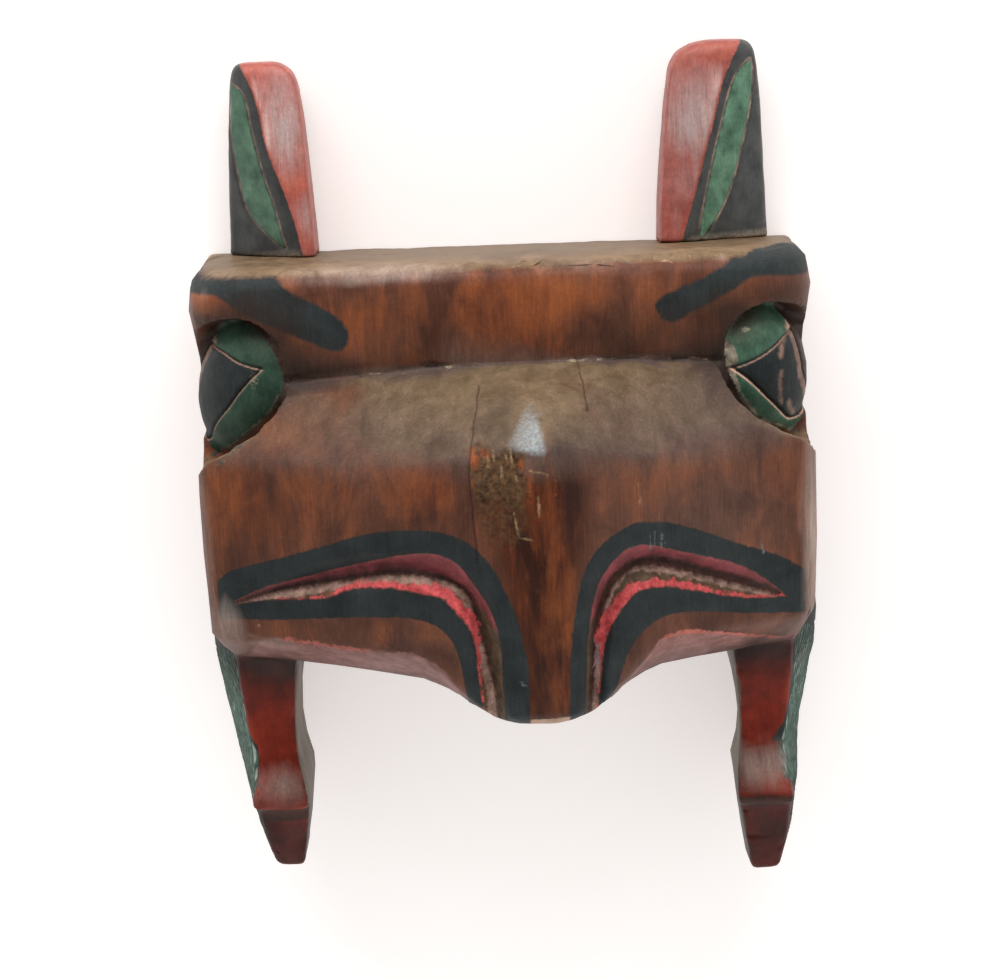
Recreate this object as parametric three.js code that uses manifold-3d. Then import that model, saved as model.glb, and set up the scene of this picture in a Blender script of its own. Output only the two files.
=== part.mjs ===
// A carved and painted thunderbird mask of red cedar, lying on the flat rim of its back.
// Millimetres: +X to the viewer's right, +Y up the face towards the ears, +Z out of the face.
import * as THREE from "three";
import Module from "manifold-3d";

const wasm = await Module();
wasm.setup();

// Overall size
const HEIGHT = 330;
const WIDTH = 242;
const GAP = 0.3;

// Levels along the face, measured from the middle of its height
const EAR_TOP = HEIGHT / 2;
const HEAD_TOP = 90;
const BROW_BOTTOM = 53;
const JAW_SHOULDER = 25;
const JAW_EDGE = -46;
const HEAD_BOTTOM = -63;
const FOOT_BOTTOM = -HEIGHT / 2;

// Depths out from the back rim
const EAR_BACK = 2;
const BROW_DEPTH = 81;
const CHEEK_DEPTH = 99;
const BEAK_DEPTH = 148;

// The beak is a little off the middle, as its carver left it
const CREST_X = 9;
const CREST_ROUND = 14;
const BEAK_HALF = 33;

const SIDE = WIDTH / 2;

const lerp = THREE.MathUtils.lerp;
const smooth = THREE.MathUtils.smoothstep;

// A closed skin over rings of points: each ring joins the next, and a fan closes each end
function loft(rings) {
  const count = rings[0].length;
  const points = rings.flat();
  const faces = [];
  for (let row = 0; row < rings.length - 1; row++) {
    for (let i = 0; i < count; i++) {
      const a = row * count + i;
      const b = row * count + ((i + 1) % count);
      const [c, d] = [a + count, b + count];
      const shorter = points[b].distanceTo(points[c]) < points[a].distanceTo(points[d]);
      faces.push(...(shorter ? [a, b, c, b, d, c] : [a, b, d, a, d, c]));
    }
  }
  const closeEnd = (start, turn) => {
    const middle = new THREE.Vector3();
    for (let i = 0; i < count; i++) middle.addScaledVector(points[start + i], 1 / count);
    points.push(middle);
    for (let i = 0; i < count; i++) {
      const a = start + i;
      const b = start + ((i + 1) % count);
      faces.push(points.length - 1, turn ? b : a, turn ? a : b);
    }
  };
  closeEnd(0, true);
  closeEnd((rings.length - 1) * count, false);
  const geometry = new THREE.BufferGeometry().setFromPoints(points);
  geometry.setIndex(faces);
  return geometry;
}

// Six times the volume, with its sign, which says whether the faces point out
function signedVolume(geometry) {
  const place = geometry.attributes.position;
  const index = geometry.index.array;
  const [a, b, c] = [new THREE.Vector3(), new THREE.Vector3(), new THREE.Vector3()];
  let sum = 0;
  for (let i = 0; i < index.length; i += 3) {
    a.fromBufferAttribute(place, index[i]);
    b.fromBufferAttribute(place, index[i + 1]);
    c.fromBufferAttribute(place, index[i + 2]);
    sum += a.dot(b.cross(c));
  }
  return sum;
}

function solid(geometry) {
  const triVerts = Uint32Array.from(geometry.index.array);
  if (signedVolume(geometry) < 0) {
    for (let i = 0; i < triVerts.length; i += 3) {
      [triVerts[i], triVerts[i + 1]] = [triVerts[i + 1], triVerts[i]];
    }
  }
  const vertProperties = Float32Array.from(geometry.attributes.position.array);
  return new wasm.Manifold(new wasm.Mesh({ numProp: 3, vertProperties, triVerts }));
}

function toGeometry(manifold) {
  const mesh = manifold.getMesh();
  const geometry = new THREE.BufferGeometry();
  geometry.setAttribute("position", new THREE.BufferAttribute(mesh.vertProperties, 3));
  geometry.setIndex(new THREE.BufferAttribute(mesh.triVerts, 1));
  return geometry;
}

// Head block: one plan outline at each level, from the flat top down to the underside.
//   y, half: the level at the side walls and the half width at the back
//   draft: how much narrower the side walls stand at their front
//   round: the corner radius between side wall and face
//   cheek, crest: depth of the face at its corners and on the line of the beak
//   rise, spread, power: how far the level climbs (or drops) towards the beak, how wide that is
//   and how squarely it begins
//   nose: extra depth of the beak alone, where the underside falls back beside it
//   lift: how much higher the level stands at its left end
const DROP = { rise: -22, spread: BEAK_HALF, power: 4 };
const TIP = { rise: -8.5, spread: 34 };
const KNUCKLE = { rise: 9, spread: 30 };
const BROW = { rise: 6, spread: 95 };
const UNDERSIDE = { draft: 8, round: 14, ...TIP, lift: 3.5 };
const HEAD_LEVELS = [
  { y: HEAD_TOP, half: 110, draft: 0, round: 24, cheek: BROW_DEPTH - 8, crest: BROW_DEPTH - 6 },
  { y: HEAD_TOP - 1.5, half: 115, draft: 0, round: 27, cheek: BROW_DEPTH - 3, crest: BROW_DEPTH - 1 },
  { y: HEAD_TOP - 6, half: 118, draft: 0, round: 28, cheek: BROW_DEPTH, crest: BROW_DEPTH + 2 },
  { y: 74, half: 119, draft: 0.5, round: 26, cheek: BROW_DEPTH, crest: BROW_DEPTH + 2 },
  { y: BROW_BOTTOM - 4, half: 116.5, draft: 1.5, round: 26, cheek: 80, crest: BROW_DEPTH + 1, ...BROW },
  { y: BROW_BOTTOM - 6, half: 116, draft: 1.5, round: 26, cheek: 76, crest: BROW_DEPTH - 3, ...BROW },
  { y: 43, half: 114.5, draft: 1, round: 25, cheek: 83, crest: 92, rise: 8, spread: 70 },
  { y: 37, half: 113, draft: 1, round: 22, cheek: 89, crest: 112, rise: 9, spread: 46 },
  { y: 31, half: 112.5, draft: 1, round: 18, cheek: 93.5, crest: 129, rise: 9, spread: 36 },
  { y: JAW_SHOULDER + 2, half: 116, draft: 2, round: 15, cheek: CHEEK_DEPTH - 3, crest: 138, ...KNUCKLE },
  { y: JAW_SHOULDER - 1, half: 118.3, draft: 2.5, round: 13, cheek: CHEEK_DEPTH, crest: 143, ...KNUCKLE },
  { y: 17, half: 119.2, draft: 4, round: 12, cheek: 100, crest: BEAK_DEPTH - 1, rise: 4, spread: 28 },
  { y: -10, half: 120, draft: 4.5, round: 12, cheek: CHEEK_DEPTH + 1, crest: BEAK_DEPTH },
  { y: -32, half: 120, draft: 5, round: 12, cheek: CHEEK_DEPTH, crest: BEAK_DEPTH - 2 },
  { y: JAW_EDGE + 1.5, half: 120, draft: 5.5, round: 12, cheek: 98, crest: BEAK_DEPTH - 7, ...DROP },
  { y: JAW_EDGE - 1, half: 120, draft: 6, round: 13, cheek: 96, crest: BEAK_DEPTH - 10, ...DROP },
  { y: HEAD_BOTTOM + 2, half: 119.5, cheek: 78, crest: 106, nose: 32, ...UNDERSIDE },
  { y: HEAD_BOTTOM, half: 117, cheek: 75, crest: 103, nose: 31, ...UNDERSIDE },
];

const beakShare = (x, spread, power = 2) => Math.exp(-(Math.abs((x - CREST_X) / spread) ** power));

// Height of a level at a place across the face
function levelY(level, x) {
  const climb = (level.rise ?? 0) * beakShare(x, level.spread ?? 1, level.power);
  return level.y + climb + (level.lift ?? 0) * smooth(-x, 40, 100);
}

// Depth of the face: two nearly flat flanks that meet in the rounded crest of the beak
function faceDepth(level, x) {
  const corner = (level.half - level.draft - level.round) * Math.sign(x - CREST_X || 1);
  const fall = (d) => Math.hypot(d, CREST_ROUND) - CREST_ROUND;
  const slope = (level.crest - level.cheek) / fall(corner - CREST_X);
  const nose = (level.nose ?? 0) * beakShare(x, BEAK_HALF - 2, 4);
  return level.crest - slope * fall(x - CREST_X) + nose;
}

function headRing(level) {
  const corner = level.half - level.draft;
  const inner = corner - level.round;
  const point = (x, z) => new THREE.Vector3(x, levelY(level, x), z);
  const wallSteps = 3;
  const cornerSteps = 6;
  const wallAndCorner = (side) => {
    const front = faceDepth(level, side * inner);
    const run = [];
    for (let i = 0; i < wallSteps; i++) {
      const share = i / wallSteps;
      run.push(point(side * (level.half - level.draft * share), share * (front - level.round)));
    }
    for (let i = 0; i < cornerSteps; i++) {
      const turn = ((i / cornerSteps) * Math.PI) / 2;
      const x = side * (inner + level.round * Math.cos(turn));
      run.push(point(x, front - level.round * (1 - Math.sin(turn))));
    }
    return run;
  };
  const left = CREST_X - BEAK_HALF;
  const right = CREST_X + BEAK_HALF;
  const across = [];
  for (const [from, to, steps] of [[-inner, left, 7], [left, right, 14], [right, inner, 7]]) {
    for (let i = 0; i < steps; i++) across.push(lerp(from, to, i / steps));
  }
  across.push(inner);
  return [
    ...wallAndCorner(-1),
    ...across.map((x) => point(x, faceDepth(level, x))),
    ...wallAndCorner(1).reverse(),
  ];
}

// Depth of the face at any height of the jaw, between the two levels that it lies between
function jawDepth(x, y) {
  const next = HEAD_LEVELS.findIndex((level) => levelY(level, x) < y);
  const [above, below] = [HEAD_LEVELS[next - 1], HEAD_LEVELS[next]];
  const share = (levelY(above, x) - y) / (levelY(above, x) - levelY(below, x));
  return lerp(faceDepth(above, x), faceDepth(below, x), share);
}

// Hollow behind the face: rounded openings that shrink towards the beak
const HOLLOW_LEVELS = [
  { z: -2, half: 104, top: 76, bottom: -50, round: 20, shift: 0 },
  { z: 34, half: 102, top: 74, bottom: -50, round: 22, shift: 0 },
  { z: 54, half: 92, top: 66, bottom: -47, round: 24, shift: 0 },
  { z: 64, half: 78, top: 52, bottom: -42, round: 24, shift: 2 },
  { z: 82, half: 54, top: 28, bottom: -38, round: 20, shift: 5 },
  { z: 98, half: 30, top: 14, bottom: -30, round: 14, shift: CREST_X },
];

function roundedRing(half, top, bottom, round, shift, z) {
  const ring = [];
  const corners = [[1, top, 0], [-1, top, 1], [-1, bottom, 2], [1, bottom, 3]];
  const cornerSteps = 5;
  for (const [side, edge, quarter] of corners) {
    const middleX = shift + side * (half - round);
    const middleY = edge - Math.sign(edge - (top + bottom) / 2) * round;
    for (let i = 0; i <= cornerSteps; i++) {
      const turn = ((quarter + i / cornerSteps) * Math.PI) / 2;
      ring.push(new THREE.Vector3(middleX + round * Math.cos(turn), middleY + round * Math.sin(turn), z));
    }
  }
  return ring;
}

function hollow() {
  const rings = HOLLOW_LEVELS.map((level) =>
    roundedRing(level.half, level.top, level.bottom, level.round, level.shift, level.z),
  );
  return solid(loft(rings));
}

// The top of the head falls away towards its back edge, under the ears, and a little less on the left
const CROWN_START = 50;
const CROWN_FALL = { left: 1.5, right: 4 };

function crownY(x, z) {
  const fall = lerp(CROWN_FALL.left, CROWN_FALL.right, (x + SIDE) / WIDTH);
  return HEAD_TOP - fall * (1 - z / CROWN_START);
}

function crownCut() {
  const steps = 16;
  const [behind, above, clear] = [-5, 10, 5];
  const rings = [];
  for (let i = 0; i <= steps; i++) {
    const x = lerp(-SIDE - clear, SIDE + clear, i / steps);
    rings.push([
      new THREE.Vector3(x, crownY(x, CROWN_START), CROWN_START),
      new THREE.Vector3(x, crownY(x, behind), behind),
      new THREE.Vector3(x, HEAD_TOP + above, behind),
      new THREE.Vector3(x, HEAD_TOP + above, CROWN_START),
    ]);
  }
  return solid(loft(rings));
}

// Opening for the neck, through the chin wall between the two legs
const NECK_HALF = 80;
const NECK_DEPTH = 44;

function neckOpening() {
  const outline = new THREE.Shape();
  outline.moveTo(-NECK_HALF, -2);
  outline.lineTo(NECK_HALF, -2);
  outline.lineTo(NECK_HALF, NECK_DEPTH / 2);
  outline.quadraticCurveTo(NECK_HALF * 0.85, NECK_DEPTH, 0, NECK_DEPTH);
  outline.quadraticCurveTo(-NECK_HALF * 0.85, NECK_DEPTH, -NECK_HALF, NECK_DEPTH / 2);
  const height = 30;
  const bar = new THREE.ExtrudeGeometry(outline, { depth: height, bevelEnabled: false, curveSegments: 8 });
  bar.rotateX(Math.PI / 2);
  bar.translate(0, HEAD_BOTTOM - 6 + height, 0);
  return weld(bar);
}

// A closed three.js shape with its corners merged, as a solid
function weld(geometry) {
  const place = geometry.attributes.position;
  const corners = [];
  const seen = new Map();
  const index = [];
  const order = geometry.index ? geometry.index.array : [...Array(place.count).keys()];
  for (const i of order) {
    const corner = new THREE.Vector3().fromBufferAttribute(place, i);
    const key = corner.toArray().map((value) => value.toFixed(4)).join(" ");
    if (!seen.has(key)) {
      seen.set(key, corners.length);
      corners.push(corner);
    }
    index.push(seen.get(key));
  }
  const kept = [];
  for (let i = 0; i < index.length; i += 3) {
    const [a, b, c] = index.slice(i, i + 3);
    if (a !== b && b !== c && c !== a) kept.push(a, b, c);
  }
  const merged = new THREE.BufferGeometry().setFromPoints(corners);
  merged.setIndex(kept);
  return solid(merged);
}

// Eyes: a domed eyeball in an oval socket, on each front corner of the head
//   the floor of the socket climbs towards the side of the head, where the eyeball ends flush
const EYE = { x: 97.5, z: 60.5, turn: THREE.MathUtils.degToRad(45), lean: THREE.MathUtils.degToRad(30) };
const EYEBALL = {
  left: { y: 44, length: 22.5, height: 29, bulge: 15 },
  right: { y: 42.5, length: 22.5, height: 27.5, bulge: 15 },
};
const SOCKET_EDGE = 1.5;
const SOCKET_CLIMB = 0.45;
const SOCKET_FLARE = 0.5;

const eyeballOn = (side) => (side < 0 ? EYEBALL.left : EYEBALL.right);

function eyeFrame(side) {
  const frame = new THREE.Matrix4().makeRotationY(side * EYE.turn);
  frame.multiply(new THREE.Matrix4().makeRotationZ(side * EYE.lean));
  frame.setPosition(side * EYE.x, eyeballOn(side).y, EYE.z);
  return frame;
}

function eyeball(side) {
  const { length, height, bulge } = eyeballOn(side);
  const ball = new THREE.SphereGeometry(1, 28, 18);
  ball.rotateX(Math.PI / 2);
  ball.scale(length, height, bulge);
  ball.applyMatrix4(eyeFrame(side));
  return weld(ball);
}

function socket(side) {
  const { length, height } = eyeballOn(side);
  const steps = 32;
  const floor = 1;
  const reach = 40;
  const lean = new THREE.Matrix4().makeRotationZ(side * EYE.lean);
  const upright = lean.clone().invert();
  const rings = [[floor, 0.5], [floor + 3, 1.5], [reach, 1.5 + SOCKET_EDGE]].map(([z, edge]) => {
    const ring = [];
    for (let i = 0; i < steps; i++) {
      const turn = (i / steps) * 2 * Math.PI;
      const point = new THREE.Vector3((length + edge) * Math.cos(turn), (height + edge) * Math.sin(turn), z);
      point.applyMatrix4(lean);
      const outwards = side * point.x;
      const inwardsUp = Math.max(0, (0.8 * point.y - outwards) / length);
      point.z += SOCKET_CLIMB * Math.max(0, outwards);
      point.x -= side * SOCKET_FLARE * (z - floor) * Math.min(1, inwardsUp);
      ring.push(point.applyMatrix4(upright).applyMatrix4(eyeFrame(side)));
    }
    return ring;
  });
  return solid(loft(rings));
}

// Mouth: a V groove from the cheek over an arch and down beside the beak to the underside
const MOUTH = {
  corner: 104,
  cheek: 73,
  left: { cornerY: -31, cheekY: -20, out: 0 },
  right: { cornerY: -37, cheekY: -23.5, out: 1.7 },
  arch: { d: 43, y: -13 },
  bend: { d: 25, y: -23 },
  beside: { d: 20, y: -42 },
  end: { d: 16.5, y: HEAD_BOTTOM - 12 },
};
const GROOVE = { above: 7.5, below: 6.5, aboveAtBeak: 4, belowAtBeak: 5, depth: 7 };

function mouthPath(side) {
  const cheek = side < 0 ? MOUTH.left : MOUTH.right;
  const besideBeak = ({ d, y }) => new THREE.Vector3(CREST_X + side * (d + cheek.out), y, 0);
  return new THREE.CatmullRomCurve3(
    [
      new THREE.Vector3(side * MOUTH.corner, cheek.cornerY, 0),
      new THREE.Vector3(side * MOUTH.cheek, cheek.cheekY, 0),
      new THREE.Vector3(CREST_X + side * MOUTH.arch.d, MOUTH.arch.y, 0),
      besideBeak(MOUTH.bend),
      besideBeak(MOUTH.beside),
      besideBeak(MOUTH.end),
    ],
    false,
    "centripetal",
  );
}

function mouthGroove(side) {
  const path = mouthPath(side);
  const steps = 34;
  const clear = 5;
  const rings = [];
  for (let i = 0; i <= steps; i++) {
    const t = i / steps;
    const middle = path.getPointAt(t);
    const along = path.getTangentAt(t);
    const up = new THREE.Vector3(side * along.y, -side * along.x, 0);
    const open = smooth(t, -0.06, 0.3);
    const beside = smooth(t, 0.5, 0.8);
    const above = lerp(GROOVE.above, GROOVE.aboveAtBeak, beside) * open;
    const below = lerp(GROOVE.below, GROOVE.belowAtBeak, beside) * open;
    const depth = GROOVE.depth * open;
    const spread = (depth + clear) / depth;
    const face = jawDepth(middle.x, Math.max(middle.y, HEAD_BOTTOM - 3));
    const edge = (width, z) => middle.clone().addScaledVector(up, width).setZ(z);
    rings.push([
      edge(above * spread, face + clear),
      edge(0, face - depth),
      edge(-below * spread, face + clear),
    ]);
  }
  return solid(loft(rings));
}

// Legs: tapering side plates that run on below the jaw, each with a lip above its foot
//   share: from the jaw to the foot
//   front, back: depth of the front and of the rear edge
//   outer, inner: distance from the middle of the head to the two edges of the red front
//   flank, rear: the same for the outer side and the inner side at the back
const LEG_LEVELS = [
  { share: -0.2, front: 70, back: 0, outer: 107, inner: 85, flank: 120, rear: 84 },
  { share: 0.0, front: 70, back: 0, outer: 108, inner: 85, flank: SIDE, rear: 84 },
  { share: 0.12, front: 67, back: 0, outer: 107.5, inner: 86, flank: 120.3, rear: 85.5 },
  { share: 0.3, front: 63, back: 1, outer: 106, inner: 87.3, flank: 119, rear: 88.5 },
  { share: 0.46, front: 63, back: 4, outer: 105, inner: 87, flank: 116.5, rear: 89 },
  { share: 0.56, front: 67, back: 7, outer: 104.5, inner: 85, flank: 114.5, rear: 87.5 },
  { share: 0.62, front: 72, back: 10, outer: 105, inner: 83.5, flank: 113, rear: 85 },
  { share: 0.66, front: 71, back: 12, outer: 105, inner: 83.5, flank: 112, rear: 84.5 },
  { share: 0.69, front: 64, back: 13, outer: 104, inner: 84, flank: 111, rear: 85 },
  { share: 0.85, front: 58, back: 19, outer: 102, inner: 86, flank: 107, rear: 86.5 },
  { share: 0.98, front: 53, back: 24, outer: 99.5, inner: 88, flank: 102, rear: 88 },
  { share: 1.0, front: 50, back: 26, outer: 98, inner: 89, flank: 100, rear: 89 },
];
const LEG_TOP = -60;
const LEFT_FOOT_SHORT = 10;
const RIGHT_FOOT_OUT = 4;
const LEG_EDGE = 2.5;

function legRing(level, side, y) {
  const foot = side > 0 ? RIGHT_FOOT_OUT : 0;
  const out = foot * smooth(level.share, 0.45, 0.8);
  const rearOut = foot * smooth(level.share, 0, 0.5) - out;
  const flankDepth = lerp(side > 0 ? 46 : 34, 18, smooth(level.share, 0, 0.5));
  const corner = (x, z) => new THREE.Vector2(side * (x + out), z);
  const corners = [
    corner(level.rear + rearOut, level.back),
    corner(level.inner, level.front),
    corner(level.outer, level.front),
    corner(level.flank, Math.min(level.back + flankDepth, level.front - 12)),
    corner(level.flank, level.back),
  ];
  const ring = [];
  corners.forEach((here, i) => {
    const before = corners[(i + corners.length - 1) % corners.length];
    const after = corners[(i + 1) % corners.length];
    const start = here.clone().add(before.clone().sub(here).setLength(LEG_EDGE));
    const end = here.clone().add(after.clone().sub(here).setLength(LEG_EDGE));
    for (const t of [0, 0.5, 1]) {
      const a = start.clone().lerp(here, t);
      const b = here.clone().lerp(end, t);
      const p = a.lerp(b, t);
      ring.push(new THREE.Vector3(p.x, y, p.y));
    }
  });
  return ring;
}

function leg(side) {
  const bottom = FOOT_BOTTOM + (side < 0 ? LEFT_FOOT_SHORT : 0);
  return solid(loft(LEG_LEVELS.map((level) => legRing(level, side, lerp(LEG_TOP, bottom, level.share)))));
}

function head() {
  let body = solid(loft(HEAD_LEVELS.map(headRing)));
  body = body.add(leg(-1)).add(leg(1));
  for (const side of [-1, 1]) {
    body = body.subtract(socket(side)).add(eyeball(side)).subtract(mouthGroove(side));
  }
  return toGeometry(body.subtract(hollow()).subtract(neckOpening()).subtract(crownCut()));
}

// Ears: tall tabs with a flat front and a broad bevel that faces outwards
//   share: from the foot of the ear to its top
//   inner, arris, outer: distance from the middle of the head to the inner edge of the front,
//   to the arris between front and bevel, and to the outer edge
//   front, bevel: depth of the front and of the outer edge of the bevel
const EARS = {
  left: {
    side: -1,
    top: EAR_TOP - 1,
    levels: [
      { share: 0, inner: 71, arris: 79, outer: 106, front: 31, bevel: 11 },
      { share: 0.2, inner: 71.5, arris: 82, outer: 105.5, front: 30, bevel: 12 },
      { share: 0.45, inner: 72.5, arris: 86, outer: 104.5, front: 29, bevel: 14 },
      { share: 0.7, inner: 73.5, arris: 90, outer: 103, front: 27, bevel: 17 },
      { share: 0.88, inner: 75, arris: 94, outer: 101.5, front: 25, bevel: 19 },
      { share: 0.95, inner: 77, arris: 95.5, outer: 100.5, front: 24, bevel: 19.5 },
      { share: 0.99, inner: 81, arris: 95, outer: 99, front: 22.5, bevel: 19.5 },
      { share: 1, inner: 84, arris: 94, outer: 97, front: 20.5, bevel: 18.5 },
    ],
  },
  right: {
    side: 1,
    top: EAR_TOP,
    levels: [
      { share: 0, inner: 64, arris: 73.5, outer: 108, front: 31, bevel: 11 },
      { share: 0.2, inner: 64.5, arris: 78, outer: 107.5, front: 30, bevel: 12 },
      { share: 0.45, inner: 66, arris: 84, outer: 106.5, front: 29, bevel: 14 },
      { share: 0.7, inner: 68, arris: 89.5, outer: 105.5, front: 27, bevel: 17 },
      { share: 0.88, inner: 70, arris: 95.5, outer: 104, front: 25, bevel: 19 },
      { share: 0.95, inner: 73, arris: 98, outer: 103, front: 24, bevel: 19.5 },
      { share: 0.99, inner: 79, arris: 97.5, outer: 101, front: 22.5, bevel: 19.5 },
      { share: 1, inner: 84, arris: 96, outer: 98.5, front: 20.5, bevel: 18.5 },
    ],
  },
};

function earRing(ear, level) {
  const back = EAR_BACK + 4 * level.share ** 3;
  const edge = 1.5;
  const middle = (level.inner + level.arris) / 2;
  const corners = [
    [level.inner + edge, back],
    [level.inner, back + edge],
    [level.inner - 0.5, (back + level.front) / 2],
    [level.inner, level.front - edge],
    [level.inner + edge, level.front],
    [middle, level.front + 0.7],
    [level.arris - edge, level.front + 0.4],
    [level.arris, level.front],
    [(level.arris + level.outer) / 2, (level.front + level.bevel) / 2 + 0.6],
    [level.outer - 0.8, level.bevel + 0.8],
    [level.outer, level.bevel - 0.8],
    [level.outer, back + edge],
    [level.outer - edge, back],
  ];
  return corners.map(([away, z]) => {
    const x = ear.side * away;
    return new THREE.Vector3(x, lerp(crownY(x, z) + GAP, ear.top, level.share), z);
  });
}

function earGeometry(ear) {
  return toGeometry(solid(loft(ear.levels.map((level) => earRing(ear, level)))));
}

const stainedCedar = new THREE.MeshStandardMaterial({ color: 0x6a3a22, roughness: 0.5, metalness: 0 });
const redPaint = new THREE.MeshStandardMaterial({ color: 0x94483f, roughness: 0.5, metalness: 0 });

function piece(name, geometry, material) {
  geometry.computeVertexNormals();
  const mesh = new THREE.Mesh(geometry, material);
  mesh.name = name;
  return mesh;
}

const group = new THREE.Group();
group.add(piece("mask_head", head(), stainedCedar));
group.add(piece("ear_left", earGeometry(EARS.left), redPaint.clone()));
group.add(piece("ear_right", earGeometry(EARS.right), redPaint.clone()));

export default group;
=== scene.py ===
"""A carved and painted cedar thunderbird mask, lying on the flat rim of its back."""

import math

import bpy
import numpy as np
from mathutils import Matrix, Vector, noise


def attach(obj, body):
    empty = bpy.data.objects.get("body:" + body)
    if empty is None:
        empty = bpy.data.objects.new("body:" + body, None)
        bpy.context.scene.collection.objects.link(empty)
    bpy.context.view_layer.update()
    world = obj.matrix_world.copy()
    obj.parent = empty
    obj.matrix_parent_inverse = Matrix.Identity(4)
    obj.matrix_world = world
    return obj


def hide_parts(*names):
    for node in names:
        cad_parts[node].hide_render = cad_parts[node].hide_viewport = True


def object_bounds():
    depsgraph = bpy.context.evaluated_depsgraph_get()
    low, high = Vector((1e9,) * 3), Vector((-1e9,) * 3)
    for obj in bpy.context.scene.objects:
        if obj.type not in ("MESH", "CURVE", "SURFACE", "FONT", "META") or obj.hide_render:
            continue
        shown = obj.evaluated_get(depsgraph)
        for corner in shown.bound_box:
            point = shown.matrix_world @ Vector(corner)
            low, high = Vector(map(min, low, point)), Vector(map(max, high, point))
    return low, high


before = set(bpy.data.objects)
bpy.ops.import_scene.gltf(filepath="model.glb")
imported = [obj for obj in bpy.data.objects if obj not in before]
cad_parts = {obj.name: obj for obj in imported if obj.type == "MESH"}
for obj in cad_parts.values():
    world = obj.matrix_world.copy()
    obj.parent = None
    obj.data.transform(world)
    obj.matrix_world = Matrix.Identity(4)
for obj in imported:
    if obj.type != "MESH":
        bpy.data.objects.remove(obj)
cad_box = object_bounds()
MM = 0.001


# The head: one block of red cedar, roughed out with an adze and finished with a crooked knife, then
# hollowed from behind. The bare fronts are stained brown, the lips, brows, eyes, legs and the cuts
# beside the beak are painted, and years of handling have rubbed the edges and dulled the upper sides.

# Sizes are in millimetres, and -1 and 1 are the viewer's left and right side.
HEAD_GRID = 1.35  # between the skin's points, and half of that round eyes, mouth and panels
EDGE_TURN = 0.93  # neighbouring normals that agree less than this lie on a cut edge
PLANE_SMOOTHING, CORNER_SMOOTHING = 8, 24
HOLLOW_SHARE, PLAIN_SHARE = 0.15, 0.1  # of the points there that are kept
HOLLOW_CENTRE = (0, 5, 10)
HOLLOW_LOW_Y, HOLLOW_HALF_WIDTH, HOLLOW_TOP_Z = -52, 108, 101
FRONT_LOW_Z, LEG_TOP_Y, CORNER_Z = 60, -58, 81
BEAK_X = 9
EYE_X, EYE_Z = 97.5, 60.5
EYE_Y = {-1: 44, 1: 42.5}
EYE_SIZE = {-1: (22.5, 29, 15), 1: (22.5, 27.5, 15)}  # half across, half up and out of the head
EYE_TURN, EYE_LEAN = 45, 30  # degrees
LEG_FRONT_Z = ((50, 60, 90, 119, 127, 160), (73, 70, 62, 71, 64, 50))  # how far down, and the z there
ADZE_DEPTH, ADZE_WAVE = 0.32, 15
KNIFE_DEPTH, KNIFE_WAVE = 0.14, 5
GOUGE_DEPTH, GOUGE_WAVE = 1.1, (11, 22, 11)
LINE_DEPTH, LINE_REACH = 0.85, 0.9  # the cut line round an almond
CHIP_DEPTH, CHIP_Y = 1.6, 89
CRACK_DEPTH, CRACK_REACH = 0.5, 0.9
DASH_LONG, DASH_WIDE, DASH_DEPTH = 9, 2.5, 0.8
PANEL_LINE_DEPTH, PANEL_LINE_REACH = 0.35, 0.8


def carved_copy(node, piece_name, grid):
    """A CAD node's copy with its loose triangles merged and a fine, even skin laid over them."""
    bpy.ops.object.select_all(action="DESELECT")
    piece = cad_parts[node].copy()
    piece.data = piece.data.copy()
    piece.data.materials.clear()
    piece.name = piece.data.name = piece_name
    for key in list(piece.keys()):
        del piece[key]
    piece.parent = None
    bpy.context.collection.objects.link(piece)
    bpy.context.view_layer.objects.active = piece
    piece.select_set(True)
    bpy.ops.object.mode_set(mode="EDIT")
    bpy.ops.mesh.select_mode(type="VERT")
    bpy.ops.mesh.select_all(action="SELECT")
    bpy.ops.mesh.remove_doubles(threshold=0.001 * MM)
    bpy.ops.object.mode_set(mode="OBJECT")
    skin = piece.modifiers.new("skin", "REMESH")
    skin.mode = "VOXEL"
    skin.voxel_size = grid * MM
    bpy.ops.object.modifier_apply(modifier=skin.name)
    bpy.ops.object.shade_smooth()
    return piece


def points_of(piece):
    """The piece's points and their outward directions, in millimetres."""
    count = len(piece.data.vertices)
    places = np.empty(count * 3)
    normals = np.empty(count * 3)
    piece.data.vertices.foreach_get("co", places)
    piece.data.vertex_normals.foreach_get("vector", normals)
    return places.reshape(-1, 3) / MM, normals.reshape(-1, 3)


def move_points(piece, places):
    """Puts the points in their new places, kept inside the CAD model's box."""
    lowest, highest = (np.array(corner) / MM for corner in cad_box)
    piece.data.vertices.foreach_set("co", (np.clip(places, lowest, highest) * MM).ravel())
    piece.data.update()


def on_points(piece, chosen, operator, **settings):
    """Runs one edit mode operator on the chosen points."""
    for part in (piece.data.polygons, piece.data.edges):
        part.foreach_set("select", np.zeros(len(part), bool))
    piece.data.vertices.foreach_set("select", chosen)
    bpy.ops.object.mode_set(mode="EDIT")
    bpy.ops.mesh.select_mode(type="VERT")
    operator(**settings)
    bpy.ops.object.mode_set(mode="OBJECT")


def smooth(piece, chosen, rounds):
    """Eases the chosen points towards their neighbours, so many times over."""
    on_points(piece, chosen, bpy.ops.mesh.vertices_smooth, factor=0.5, repeat=rounds)


def edge_ends(piece):
    """The numbers of the points at the two ends of each edge."""
    pairs = np.empty(len(piece.data.edges) * 2, int)
    piece.data.edges.foreach_get("vertices", pairs)
    return pairs.reshape(-1, 2).T


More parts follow.
